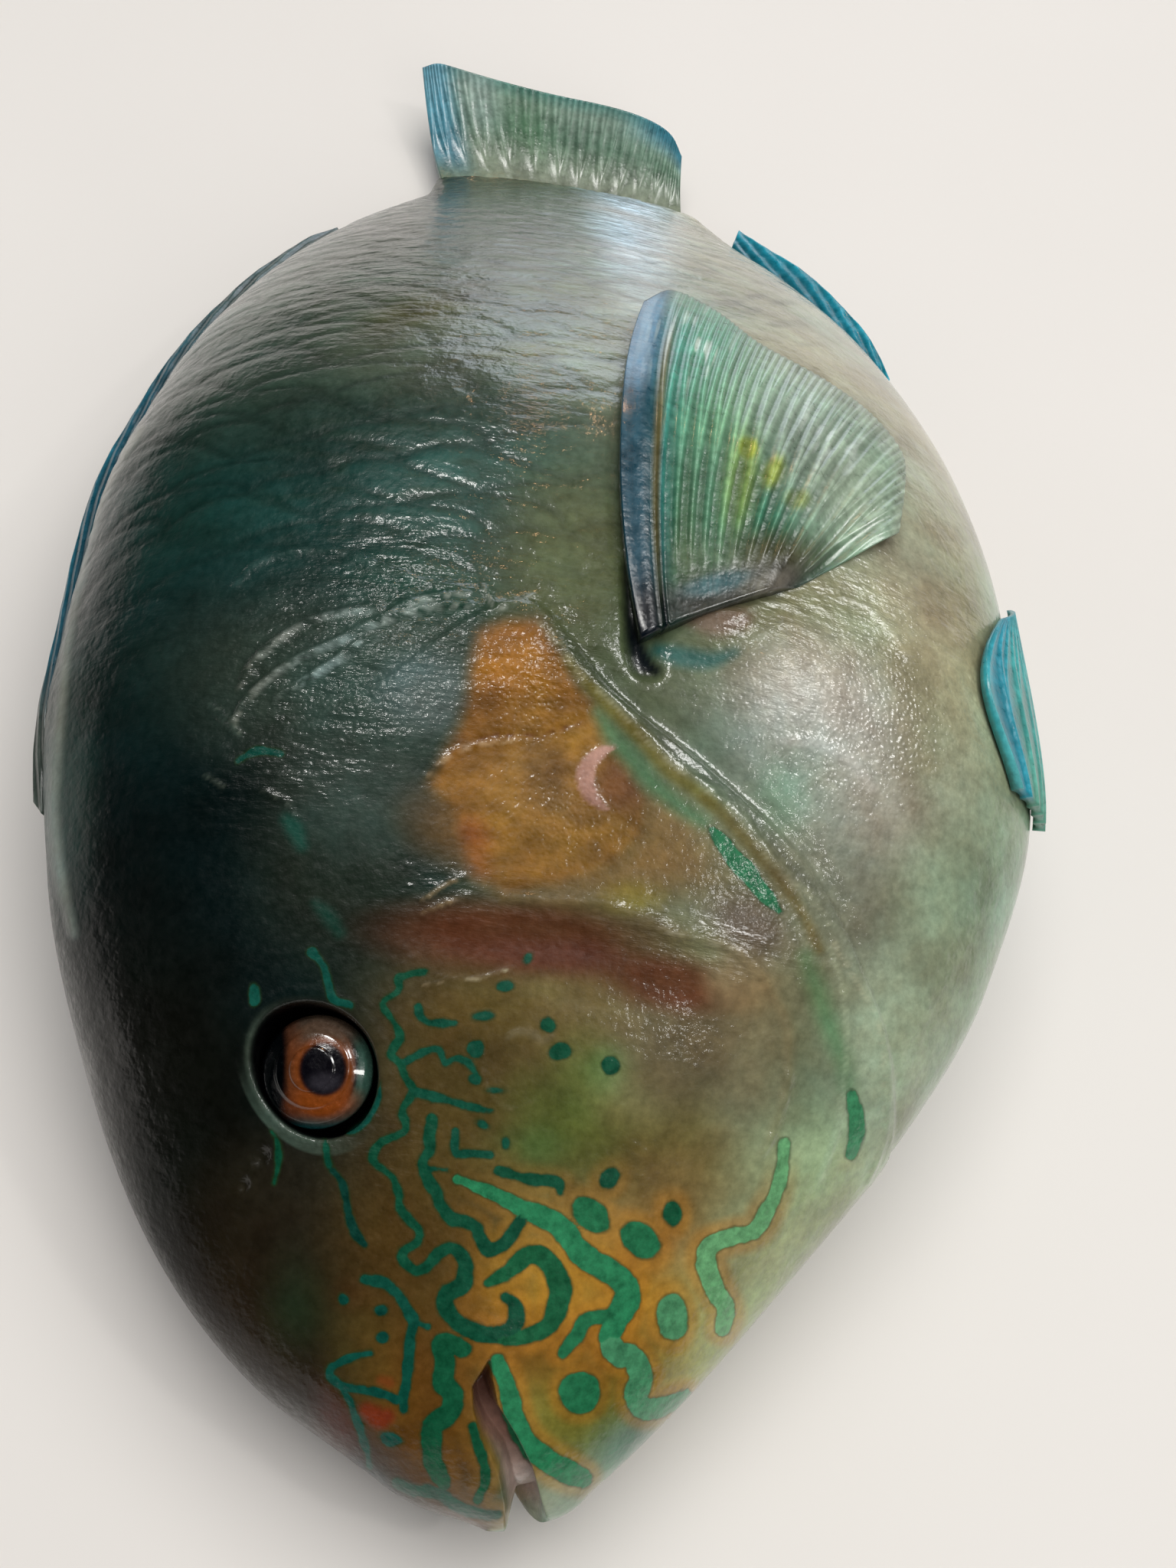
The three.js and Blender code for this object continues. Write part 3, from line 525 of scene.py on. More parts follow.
# Soft lines of colour and relief in the picture, each laid over those before it:
# (name, colour, strength, softness in pixels, height in mm, (x, y, width) along it)
STROKES = [
    ("cover shadow", "343c30", 0.55, 12, -0.5, [(735, 830, 8), (760, 862, 12), (780, 888, 14),
        (818, 912, 14), (845, 943, 14), (868, 966, 14), (900, 993, 14), (930, 1016, 14),
        (966, 1046, 14), (1000, 1088, 12), (1028, 1122, 10), (1050, 1146, 10), (1070, 1162, 8)]),
    ("cover green", "3c6a48", 0.85, 14, 0, [(780, 930, 10), (800, 962, 22), (825, 992, 24),
        (846, 1017, 24), (870, 1038, 22), (895, 1058, 18), (919, 1074, 12)]),
    ("cover rim", "6a6228", 0.8, 8, 0.45, [(742, 862, 6), (768, 892, 12), (797, 923, 15),
        (838, 964, 18), (870, 1001, 20), (911, 1033, 18), (930, 1050, 14)]),
    ("cover low rim", "66592c", 0.85, 8, 0.45, [(920, 1042, 14), (944, 1062, 18), (972, 1095, 18),
        (997, 1123, 16), (1021, 1152, 14), (1046, 1190, 12), (1070, 1240, 10)]),
    # painted highlight: a thin pale line along the gill cover's edge stands in for its wet glints
    ("cover edge painted highlight", "a7a78c", 0.5, 4, 0.3, [(703, 812, 4), (713, 821, 5), (723, 833, 6), (748, 866, 6),
        (764, 887, 5), (805, 923, 4), (829, 952, 3), (854, 976, 3), (887, 1005, 3), (915, 1025, 3),
        (952, 1054, 3), (984, 1095, 3), (1005, 1127, 3), (1033, 1152, 4), (1054, 1164, 5),
        (1070, 1189, 5), (1087, 1213, 5), (1095, 1242, 5), (1119, 1282, 5), (1144, 1327, 5),
        (1152, 1364, 5), (1156, 1440, 5), (1150, 1490, 5), (1131, 1544, 4)]),
    ("cover streak", "447a50", 0.6, 16, 0, [(1052, 1252, 16), (1064, 1285, 22), (1080, 1330, 22),
        (1100, 1380, 20), (1108, 1420, 18)]),
    ("amber crease", "522a0c", 0.85, 4, -0.3, [(605, 976, 4), (642, 962, 6), (682, 960, 6),
        (703, 962, 6), (740, 950, 6), (757, 944, 4)]),
    ("amber fold", "b39c78", 0.6, 4, 0.3, [(560, 1013, 4), (584, 989, 7), (609, 976, 8), (642, 970, 7),
        (687, 968, 4)]),
    ("loose scale", "a98276", 0.9, 2.5, 0.3, [(803, 976, 3), (786, 982, 14), (768, 1000, 21),
        (765, 1022, 22), (774, 1042, 17), (792, 1057, 4)]),
    ("white crease", "a89a7c", 0.8, 2, 0.3, [(570, 1274, 1), (597, 1280, 3), (625, 1279, 4),
        (654, 1270, 3), (674, 1262, 2)]),
    ("white crease below", "8f8166", 0.5, 2.5, 0.2, [(553, 1286, 3), (566, 1285, 3), (584, 1283, 2)]),
    ("cheek ridge", "7c6a48", 0.35, 10, 0.7, [(660, 1172, 6), (735, 1176, 10), (789, 1180, 10),
        (821, 1191, 10), (862, 1209, 10), (887, 1221, 10), (919, 1227, 10), (948, 1235, 10),
        (968, 1246, 10), (989, 1270, 10), (1009, 1303, 10), (1025, 1331, 10), (1030, 1372, 10),
        (1026, 1420, 10), (1012, 1470, 8), (992, 1510, 6)]),
    # painted highlight: a pale line along the cheek ridge
    ("cheek ridge painted highlight", "b3a890", 0.4, 3, 0, [(850, 1208, 3), (887, 1222, 5), (919, 1228, 5),
        (950, 1236, 4), (966, 1244, 3)]),
    ("scale on the cheek", "6c5c40", 0.45, 3, 0.2, [(628, 1376, 3), (630, 1400, 3), (637, 1425, 3),
        (652, 1446, 3), (676, 1449, 3), (694, 1440, 3)]),
    ("scale on the cheek top", "7d725c", 0.3, 5, 0.2, [(662, 1356, 5), (676, 1348, 8), (694, 1350, 9),
        (708, 1360, 7), (722, 1352, 4)]),
    ("throat fold", "a9b598", 0.4, 5, 0.35, [(1084, 1240, 4), (1100, 1290, 4), (1106, 1340, 4),
        (1104, 1400, 4), (1094, 1470, 4), (1070, 1540, 4)]),
    # painted highlights: shoulder arc, shoulder arc inner, shoulder arc end, shoulder arc outer and shoulder
    # arc top are pale lines that stand in for wet glints on the folds, over real relief
    ("shoulder arc", "a9b4ae", 0.4, 3, 0.7, [(304, 944, 4), (324, 912, 8), (360, 880, 10),
        (400, 856, 8), (440, 840, 10), (488, 816, 10), (536, 800, 10), (584, 792, 8), (616, 792, 4)]),
    ("shoulder arc inner", "a9b4ae", 0.45, 3, 0.7, [(360, 912, 4), (400, 888, 9), (440, 864, 11),
        (472, 840, 9), (500, 832, 4)]),
    ("shoulder arc end", "a9b4ae", 0.4, 3, 0.6, [(632, 768, 4), (648, 792, 8), (672, 788, 7),
        (700, 776, 4)]),
    ("shoulder arc high", "5c746c", 0.15, 4, 0.4, [(304, 768, 4), (336, 736, 6), (384, 720, 7),
        (440, 720, 7), (488, 736, 7), (552, 760, 6), (600, 768, 4)]),
    ("shoulder arc far", "5c746c", 0.3, 4, 0.5, [(272, 920, 3), (288, 936, 6), (312, 960, 4)]),
    # painted highlights, like the pale shoulder arcs above
    ("shoulder arc outer", "a9b4ae", 0.4, 3, 0.6, [(312, 900, 3), (330, 868, 8), (362, 838, 10),
        (404, 812, 8), (452, 800, 9), (496, 798, 6)]),
    ("shoulder arc top", "a9b4ae", 0.4, 3, 0.6, [(496, 812, 3), (530, 790, 9), (572, 780, 9),
        (612, 776, 4)]),
    ("cheek arc", "a8906a", 0.4, 3, 0.4, [(552, 1176, 3), (584, 1154, 5), (612, 1144, 3)]),
    ("cheek arc low", "a8906a", 0.35, 3, 0.4, [(552, 1192, 3), (592, 1176, 5), (616, 1170, 3)]),
    # painted reflection: a pale line along the left limb stands in for the wet skin's rim reflection; its
    # relief is real
    ("left rim painted reflection", "a3aaa0", 0.6, 9, 0.4, [(184, 560, 4), (152, 610, 7), (122, 680, 8), (104, 760, 8),
        (88, 840, 7), (82, 900, 8), (74, 980, 12), (70, 1060, 12), (78, 1140, 12), (96, 1220, 6)]),
    ("shoulder crease", "8b9a8e", 0.3, 3, 0.35, [(282, 926, 3), (296, 935, 5), (306, 945, 5),
        (313, 957, 3)]),
    ("shoulder crease low", "8b9a8e", 0.28, 3, 0.35, [(343, 1033, 3), (360, 1040, 5), (375, 1052, 5),
        (386, 1068, 3)]),
    ("nape crease", "6f7f74", 0.28, 3, 0.3, [(268, 1013, 3), (280, 1019, 4), (293, 1029, 3)]),
    ("nape patch", "0a4438", 0.65, 9, 0, [(374, 1070, 12), (384, 1082, 22), (394, 1104, 14)]),
    ("nape patch low", "0a4438", 0.6, 9, 0, [(412, 1180, 8), (430, 1198, 18), (444, 1218, 12)]),
    ("fin notch", "070d18", 0.95, 7, -0.9, [(818, 740, 6), (822, 790, 12), (828, 835, 20),
        (840, 866, 26), (856, 876, 14)]),
    ("fin notch teal", "1b5a58", 0.8, 10, 0, [(860, 850, 16), (890, 858, 26), (930, 862, 22),
        (960, 852, 12)]),
    ("fin base lobe", "5d7f88", 0.7, 8, 0.5, [(900, 770, 8), (935, 758, 14), (975, 756, 16),
        (1015, 768, 12)]),
    ("fin base flesh", "6c5648", 0.85, 12, 0.3, [(905, 805, 26), (935, 812, 40), (968, 808, 30)]),
    # painted highlights: pale lines on the wrinkles of the pectoral fin's base stand in for wet glints
    ("fin base wrinkle", "a9b0a4", 0.5, 3, 0.4, [(960, 812, 3), (985, 795, 4), (1012, 788, 5),
        (1042, 796, 4)]),
    ("fin base wrinkle low", "a9b0a4", 0.5, 3, 0.4, [(985, 840, 3), (1012, 822, 5), (1042, 820, 5),
        (1068, 836, 3)]),
    # painted highlights: pale lines along the breast's wrinkle and fold stand in for wet glints
    ("breast wrinkle", "b9bdae", 0.45, 4, 0.4, [(1100, 780, 3), (1140, 800, 5), (1168, 832, 5),
        (1190, 868, 3)]),
    ("breast fold", "b7b3ac", 0.5, 8, 0.4, [(1020, 968, 8), (1070, 972, 16), (1110, 994, 16),
        (1140, 1030, 10)]),
    ("red patch", "6a240e", 0.85, 7, 0, [(480, 1842, 20), (496, 1852, 28), (505, 1850, 20)]),
    ("red point", "6c3210", 0.7, 6, 0, [(498, 1803, 12), (508, 1806, 14)]),
]

# The green marks: name, (x, y, width) along each one, and how light its green is
MARKS = [
    ("eye line", 0.35, [(556, 1269, 8), (538, 1272, 9), (520, 1278, 9), (521, 1293, 9), (503, 1306, 9),
        (501, 1315, 9), (509, 1327, 9), (518, 1342, 9), (523, 1355, 9), (515, 1367, 10),
        (512, 1379, 10), (524, 1391, 10), (529, 1407, 10), (540, 1422, 10), (535, 1434, 10),
        (526, 1450, 10), (529, 1465, 10), (529, 1477, 10), (514, 1485, 10), (498, 1492, 11),
        (489, 1505, 11), (489, 1518, 11), (503, 1529, 11), (515, 1541, 11), (521, 1560, 11),
        (523, 1578, 12), (535, 1593, 12), (546, 1606, 13), (546, 1621, 13), (529, 1633, 14),
        (526, 1645, 14), (541, 1658, 14), (556, 1655, 15), (572, 1639, 16), (590, 1630, 17),
        (605, 1642, 19), (608, 1664, 21), (604, 1679, 22), (582, 1692, 22), (585, 1714, 22),
        (607, 1733, 22), (639, 1744, 22), (665, 1739, 22), (674, 1723, 20), (671, 1704, 18),
        (661, 1695, 14)]),
    ("cheek hook", 0.3, [(546, 1315, 10), (549, 1327, 10), (561, 1336, 10), (578, 1336, 10),
        (595, 1336, 8)]),
    ("cheek wave", 0.3, [(529, 1388, 9), (547, 1378, 9), (563, 1370, 9), (575, 1373, 9), (581, 1388, 9),
        (596, 1382, 9), (612, 1388, 9), (621, 1401, 8), (624, 1410, 7)]),
    ("cheek bar", 0.3, [(540, 1425, 12), (560, 1431, 12), (584, 1437, 11), (609, 1443, 10),
        (627, 1448, 9), (642, 1451, 7)]),
    ("muzzle loop", 0.35, [(564, 1462, 14), (561, 1483, 15), (561, 1502, 15), (553, 1517, 15),
        (556, 1535, 15), (569, 1557, 16), (578, 1578, 16), (590, 1592, 16), (608, 1595, 16),
        (621, 1603, 16), (627, 1618, 16), (639, 1632, 18), (656, 1627, 18), (668, 1612, 18),
        (680, 1594, 16)]),
    ("muzzle spur", 0.3, [(556, 1526, 7), (584, 1528, 6)]),
    ("cheek corner", 0.3, [(595, 1477, 9), (595, 1505, 11), (615, 1506, 11), (642, 1509, 9)]),
    ("cheek dash", 0.35, [(651, 1529, 12), (670, 1535, 13), (694, 1541, 14), (719, 1543, 14),
        (731, 1547, 14), (732, 1557, 9)]),
    ("chin band", 0.55, [(596, 1540, 10), (622, 1549, 15), (650, 1562, 19), (680, 1578, 23),
        (712, 1590, 27), (740, 1611, 30), (757, 1636, 32), (789, 1656, 33), (818, 1679, 33),
        (818, 1701, 33), (805, 1723, 32), (795, 1746, 30)]),
    ("chin band end", 0.62, [(795, 1746, 29), (805, 1768, 30), (827, 1774, 31), (837, 1800, 31),
        (830, 1825, 30), (846, 1841, 28), (878, 1832, 22), (897, 1822, 14)]),
    ("chin branch", 0.5, [(805, 1720, 22), (770, 1723, 20), (754, 1743, 20), (735, 1768, 14)]),
    ("horseshoe", 0.45, [(637, 1676, 10), (665, 1660, 22), (687, 1641, 24), (706, 1641, 26),
        (722, 1656, 28), (732, 1679, 30), (728, 1704, 28), (719, 1727, 24), (700, 1741, 20),
        (672, 1748, 18), (645, 1747, 14)]),
    ("snout line", 0.25, [(476, 1671, 12), (502, 1676, 14), (521, 1692, 14), (534, 1714, 14),
        (540, 1727, 14), (537, 1746, 14), (534, 1771, 14), (531, 1803, 14), (527, 1822, 14),
        (527, 1841, 11)]),
    ("snout spur", 0.25, [(540, 1727, 8), (559, 1733, 7)]),
    ("snout hook", 0.2, [(518, 1829, 12), (496, 1819, 12), (473, 1816, 12), (445, 1810, 12),
        (430, 1794, 12), (441, 1781, 12), (464, 1771, 11), (483, 1768, 9)]),
    ("snout edge", 0.2, [(441, 1806, 9), (457, 1829, 10), (464, 1851, 10), (473, 1876, 10),
        (480, 1899, 10), (483, 1915, 9)]),
    ("upper lip line", 0.4, [(604, 1762, 24), (579, 1755, 28), (582, 1778, 28), (579, 1803, 28),
        (591, 1822, 28), (588, 1845, 28), (566, 1861, 28), (563, 1883, 27), (566, 1908, 26),
        (575, 1928, 22), (579, 1940, 16)]),
    ("upper lip hem", 0.3, [(518, 1937, 14), (543, 1947, 16), (572, 1950, 16), (591, 1963, 16),
        (617, 1975, 15), (649, 1979, 12)]),
    ("upper lip strip", 0.4, [(617, 1864, 12), (623, 1886, 14), (633, 1915, 14), (633, 1937, 13),
        (623, 1959, 10)]),
    ("lower lip band", 0.55, [(649, 1778, 20), (658, 1797, 22), (665, 1822, 24), (671, 1848, 26),
        (681, 1873, 28), (700, 1896, 30), (722, 1912, 32), (744, 1924, 32), (760, 1931, 26)]),
    ("gill bar", 0.5, [(930, 1084, 12), (944, 1101, 20), (958, 1119, 24), (972, 1136, 25),
        (987, 1155, 22), (1004, 1174, 18), (1018, 1190, 10)]),
    ("nape dash", 0.15, [(311, 994, 7), (324, 985, 10), (340, 981, 11), (366, 984, 9)]),
    ("eye arc", 0.2, [(497, 1412, 4), (494, 1436, 7), (482, 1458, 8), (466, 1474, 8), (455, 1480, 4)]),
    ("front line", 0.05, [(434, 1529, 8), (445, 1543, 9), (451, 1561, 9), (457, 1592, 11),
        (464, 1610, 12), (476, 1625, 10)]),
    ("gill bar low", 0.6, [(1113, 1430, 14), (1118, 1455, 20), (1119, 1480, 20), (1112, 1508, 14)]),
    ("throat line", 0.75, [(1025, 1494, 14), (1022, 1520, 17), (1016, 1550, 18), (1003, 1580, 20),
        (985, 1607, 22), (950, 1617, 22), (925, 1632, 26), (925, 1660, 28), (937, 1690, 26),
        (948, 1712, 24), (944, 1735, 20)]),
    ("nape line", 0.2, [(408, 1244, 12), (424, 1266, 11), (431, 1296, 10), (436, 1305, 10),
        (458, 1313, 9)]),
    ("below eye line", 0.35, [(354, 1478, 5), (362, 1492, 7), (364, 1518, 7), (358, 1545, 6)]),
    ("below eye bar", 0.3, [(424, 1490, 6), (427, 1508, 9), (430, 1522, 9)]),
    ("behind eye spot", 0.2, [(331, 1290, 13), (332, 1308, 13)]),
]

# The green of the marks by how light they are
INK = [(0, "032c22"), (0.2, "04463a"), (0.35, "05442e"), (0.45, "0e5232"), (0.55, "1f7048"),
       (0.62, "3a7a54"), (0.75, "5c9464")]

# (x, y, reach x, reach y, tilt, amount) of places where the skin lies in wet wrinkles
WET = [(460, 850, 230, 120, -8, 1), (690, 520, 60, 120, 0, 0.45), (740, 860, 60, 70, 45, 0.7),
       (900, 1230, 150, 40, 10, 0.8), (1040, 860, 120, 80, 10, 0.9), (860, 420, 60, 60, 0, 0.5),
       (330, 1010, 140, 70, 0, 0.6), (820, 300, 130, 170, -15, 0.7), (640, 1180, 130, 50, 0, 0.5),
       (1180, 820, 90, 80, 30, 0.6), (480, 1500, 90, 60, 0, 0.4), (560, 380, 170, 90, -10, 0.5)]
# the same of places with a fine leathery grain
PEBBLE = [(690, 900, 80, 90, 0, 1), (470, 890, 170, 100, 0, 0.7), (1130, 950, 140, 110, 20, 0.9),
          (730, 1060, 110, 90, 0, 0.6), (450, 1560, 160, 160, 0, 0.5), (1000, 880, 90, 60, 0, 0.7),
          (1050, 1210, 90, 60, 20, 0.5)]

# of places with rows of dark flecks
FLECKED = [(600, 330, 190, 110, -10, 1), (970, 430, 90, 130, 30, 0.8), (700, 500, 120, 60, 0, 0.6),
           (540, 620, 220, 120, 0, 0.5)]
# and of places that are duller than the rest
DULL = [(60, 1000, 120, 460, 0, 0.85), (250, 1640, 130, 280, -35, 0.9), (190, 720, 90, 240, 25, 0.7),
        (480, 1880, 120, 120, -20, 0.6)]

# Round spots: x, y, half width, half height, tilt, lightness
SPOTS = [(448, 1697, 8, 8, 0, 0.15), (497, 1711, 9, 7, 0, 0.15), (500, 1747, 8, 8, 0, 0.15),
         (510, 1880, 15, 9, 20, 0.2), (690, 1250, 5, 7, 30, 0.3), (757, 1819, 27, 27, 0, 0.5),
         (772, 1587, 29, 19, 40, 0.5), (837, 1620, 29, 21, 40, 0.5), (878, 1720, 21, 30, 0, 0.65),
         (878, 1584, 12, 16, 0, 0.4), (796, 1539, 12, 16, 35, 0.35), (659, 1287, 12, 8, 0, 0.3),
         (630, 1327, 15, 7, 0, 0.3), (716, 1339, 10, 10, 0, 0.35), (731, 1373, 15, 11, 0, 0.35),
         (797, 1391, 12, 12, 0, 0.35), (622, 1370, 11, 11, 0, 0.3), (621, 1410, 8, 8, 0, 0.3),
         (647, 1424, 10, 4, 0, 0.3), (630, 1469, 9, 5, 30, 0.3), (661, 1494, 6, 9, 0, 0.3)]


def spin(x, y, tilt):
    a = math.radians(tilt)
    return x * math.cos(a) + y * math.sin(a), y * math.cos(a) - x * math.sin(a)


def paint_patches(tint, x, y, patches):
    for _, cx, cy, rx, ry, tilt, soft, code, strength in patches:
        dx, dy = spin(x - cx, y - cy, tilt)
        away = np.hypot(dx / rx, dy / ry)
        amount = strength * (1 - step(1 - soft, 1 + soft, away))
        tint = mix(tint, colour(code), amount[..., None])
    return tint


def patch_amount(x, y, patches):
    total = np.zeros(x.shape)
    for cx, cy, rx, ry, tilt, amount in patches:
        dx, dy = spin(x - cx, y - cy, tilt)
        total = np.maximum(total, amount * np.exp(-(dx / rx) ** 2 - (dy / ry) ** 2))
    return total


def stroke_depth(x, y, route, soft):
    """How far inside a soft line the pixels near it are, and which pixels those are."""
    line = smooth_route(route)
    xs, ys, widths = np.array(line).T
    margin = soft + widths.max()
    near = (x > xs.min() - margin) & (x < xs.max() + margin)
    near &= (y > ys.min() - margin) & (y < ys.max() + margin)
    away, share = distance_to_line(x[near], y[near], [(a, b) for a, b, _ in line])
    return np.interp(share, np.linspace(0, 1, len(widths)), widths) / 2 - away, near


def paint_strokes(tint, x, y, strokes):
    for _, code, strength, soft, _, route in strokes:
        depth, near = stroke_depth(x, y, route, soft)
        amount = strength * step(-soft, soft, depth)
        # Thin, faint strokes, the painted highlight lines among them, are broken into flecks.
        if soft < 5 and strength < 0.9:
            amount = amount * step(0.25, 0.7, flecks(x[near], y[near], 9, 6))
        tint[near] = mix(tint[near], colour(code), amount[..., None])
    return tint


def mark_fields(x, y):
    """How far inside the nearest green mark a pixel is, below 0 outside, and its lightness."""
    ink = np.full(x.shape, -40.0)
    tone = np.zeros(x.shape)
    for _, light, route in MARKS:
        depth, near = stroke_depth(x, y, route, 40)
        better = depth > ink[near]
        tone[near] = np.where(better, light, tone[near])
        ink[near] = np.maximum(ink[near], depth)
    for cx, cy, rx, ry, tilt, light in SPOTS:
        dx, dy = spin(x - cx, y - cy, tilt)
        depth = (1 - np.hypot(dx / rx, dy / ry)) * min(rx, ry)
        tone = np.where(depth > ink, light, tone)
        ink = np.maximum(ink, depth)
    return ink, tone


# Meshes

def make_piece(name, points, faces, fields, material, nodes):
    """A mesh object from millimetre points, with its fields as vertex attributes."""
    mesh = bpy.data.meshes.new(name)
    mesh.from_pydata((points * MM).tolist(), [], faces)
    mesh.shade_smooth()
    for key, values in fields.items():
        if values.ndim == 2:
            layer = mesh.attributes.new(key, "FLOAT_COLOR", "POINT")
            rgba = np.concatenate([values, np.ones((len(values), 1))], 1)
            layer.data.foreach_set("color", rgba.astype(np.float32).ravel())
        else:
            layer = mesh.attributes.new(key, "FLOAT", "POINT")
            layer.data.foreach_set("value", values.astype(np.float32).ravel())
    mesh.materials.append(material)
    piece = bpy.data.objects.new(name, mesh)
    bpy.context.scene.collection.objects.link(piece)
    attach(piece, "root")
    if nodes:
        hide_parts(*nodes)
    return piece


# Where the skin inside the open mouth leads, and how far it goes in, in millimetres
THROAT_ALONG = 24
GAPE_DEPTH = 6


def build_skin(material):
    along, turn, eye_radius = skin_grid()
    points = flank_points(along, turn)
    normals = flank_normals(along, turn)
    up = -points[..., 0]
    edge, tone = body_scales(along, turn)
    flat_x, flat_y = to_picture(points + SHIFT + np.stack([0 * up, 0 * up, middle_height(along)], -1))
    behind = step(-1, 12, along - head_edge(up))
    flank = mix(0.12, 1, step(-22, 14, up + 0.35 * np.maximum(along - 150, 0)))
    scaly = behind * flank * mix(0.35, 1, step(112, 150, along))
    relief = skin_relief(along, up, flat_x, flat_y) - scaly * (0.15 * edge - 0.09 * tone)
    normals[:, 0, 2] = 0
    normals[:, -1, 2] = 0
    points = points + normals * relief[..., None]
    eye_turn = turn_at(EYE_PLACE[0], EYE_PLACE[1])
    eye_normal = flank_normals(np.array(float(EYE_PLACE[0])), np.array(float(eye_turn)))
    points = points + eye_normal * socket_depth(eye_radius)[..., None]
    gape = step(-3, 7, inside_outline(flat_x, flat_y, GAPE)) * step(40, 30, along)
    throat = points.copy()
    throat[..., 1] = THROAT_ALONG
    throat[..., 2] = 0
    inward = throat - points
    inward /= np.maximum(np.linalg.norm(inward, axis=-1, keepdims=True), 1e-6)
    points = points + inward * (GAPE_DEPTH * gape)[..., None]
    points[..., 2] = np.maximum(points[..., 2], 0)

    left = points + SHIFT
    left[..., 2] += middle_height(along)
    x, y = to_picture(left)
    share = (up - belly(along)) / np.maximum(back(along) - belly(along), 1)
    rear = step(135, 215, along)[..., None]
    tint = mix(ramp(GROUND_FRONT, share), ramp(GROUND_REAR, share), rear)
    tint = paint_patches(tint, x, y, PATCHES)
    amber = inside_outline(x, y, AMBER)
    golden = paint_patches(ramp(AMBER_RAMP, amber), x, y, AMBER_PATCHES)
    golden = golden * mix(0.72, 1.28, flecks(x + 9 * flecks(x, y, 30, 30), y, 26, 17))[..., None]
    tint = mix(tint, golden, step(-24, 10, amber)[..., None])
    dark_rows = step(0.5, 0.85, flecks(x, y, 34, 9)) * patch_amount(x, y, FLECKED)
    tint = mix(tint, colour("1f2c16"), (0.7 * dark_rows)[..., None])
    tint = paint_strokes(tint, x, y, STROKES)
    lower_left = step(60, -70, x - 410 - 0.6 * (y - 1400))
    below = step(1380, 1470, y) * lower_left
    rim = bump(eye_radius - 9.5, 0.5) * mix(0.1, 0.3, lower_left) + 0.4 * bump(eye_radius - 11.2, 2) * below
    tint = mix(tint, mix(colour("40382a"), colour("56685a"), lower_left[..., None]), rim[..., None])
    # painted shade: the socket's walls round the eyeball are near-black
    tint = mix(tint, colour("020203"), step(9.5, 8.9, eye_radius)[..., None])
    # painted shade and light: the skin inside the open mouth is darker at the top and lighter towards the
    # bottom
    inside = ramp([(0, "54382f"), (0.5, "8c6c62"), (1, "b8a29a")], step(1790, 1950, y))
    tint = mix(tint, inside, step(0.15, 0.8, gape)[..., None])
    ink, light = mark_fields(x, y)
    warm = step(-22, -6, ink) * step(1480, 1600, y) * step(560, 700, x) * (1 - gape)
    tint = mix(tint, colour("a06a14"), (0.45 * warm)[..., None])
    ink_tint = ramp(INK, light)
    fields = {"tint": tint, "ink": ink, "ink_tint": ink_tint, "scale_edge": edge * scaly, "scale_tone": tone,
              "scaly": scaly, "wet": patch_amount(x, y, WET), "pebble": patch_amount(x, y, PEBBLE),
              "dull": patch_amount(x, y, DULL)}

    right = points * [1, 1, -1] + SHIFT
    right[..., 2] += middle_height(along)
    right[..., 2] = np.maximum(right[..., 2], 0)
    left[..., 2] = np.maximum(left[..., 2], 0)

    def around(left_values, right_values):
        body = np.concatenate([left_values[1:], right_values[1:, -2:0:-1]], 1)
        ring = body.reshape(-1, *body.shape[2:])
        return np.concatenate([left_values[0, :1], ring, left_values[-1].mean(0, keepdims=True)])

    count = 2 * SIDES
    i, k = np.meshgrid(np.arange(STATIONS - 1), np.arange(count), indexing="ij")
    here = 1 + i * count + k
    beside = 1 + i * count + (k + 1) % count
    quads = np.stack([here, beside, beside + count, here + count], -1).reshape(-1, 4).tolist()
    k = np.arange(count)
    last = 1 + (STATIONS - 1) * count
    front = np.stack([0 * k, 1 + (k + 1) % count, 1 + k], -1).tolist()
    end = np.stack([last + k, last + (k + 1) % count, 0 * k + last + count], -1).tolist()
    both = {key: around(values, values) for key, values in fields.items()}
    return make_piece("skin", around(left, right), quads + front + end, both, material,
                      ["head", "lower_jaw", "gill_cover_left", "gill_cover_right", "trunk", "tail_stalk"])


# Fins

def ray_ridges(u, v, rays, branch_from):
    """1 on a ray and 0 on the skin between. Rays part in two, and again near the tip."""
    phase = v * (rays - 1)
    off = abs(phase - np.round(phase))
    first = 0.25 * step(branch_from, branch_from + 0.45, u)
    second = 0.125 * step(branch_from + 0.35, 1, u)
    return bump(abs(abs(off - first) - second), mix(0.2, 0.075, step(branch_from, 1, u)))


def folded_ridges(u, v, rays):
    """The rays of a folded fin, which lie one on another along its edge."""
    lines = 0.5 + 0.5 * np.cos(2 * np.pi * (3.2 * u - 0.4 * rays * v))
    knots = bump(v * (rays - 1) - np.round(v * (rays - 1)), 0.22)
    return 0.6 * lines + 0.4 * knots * u


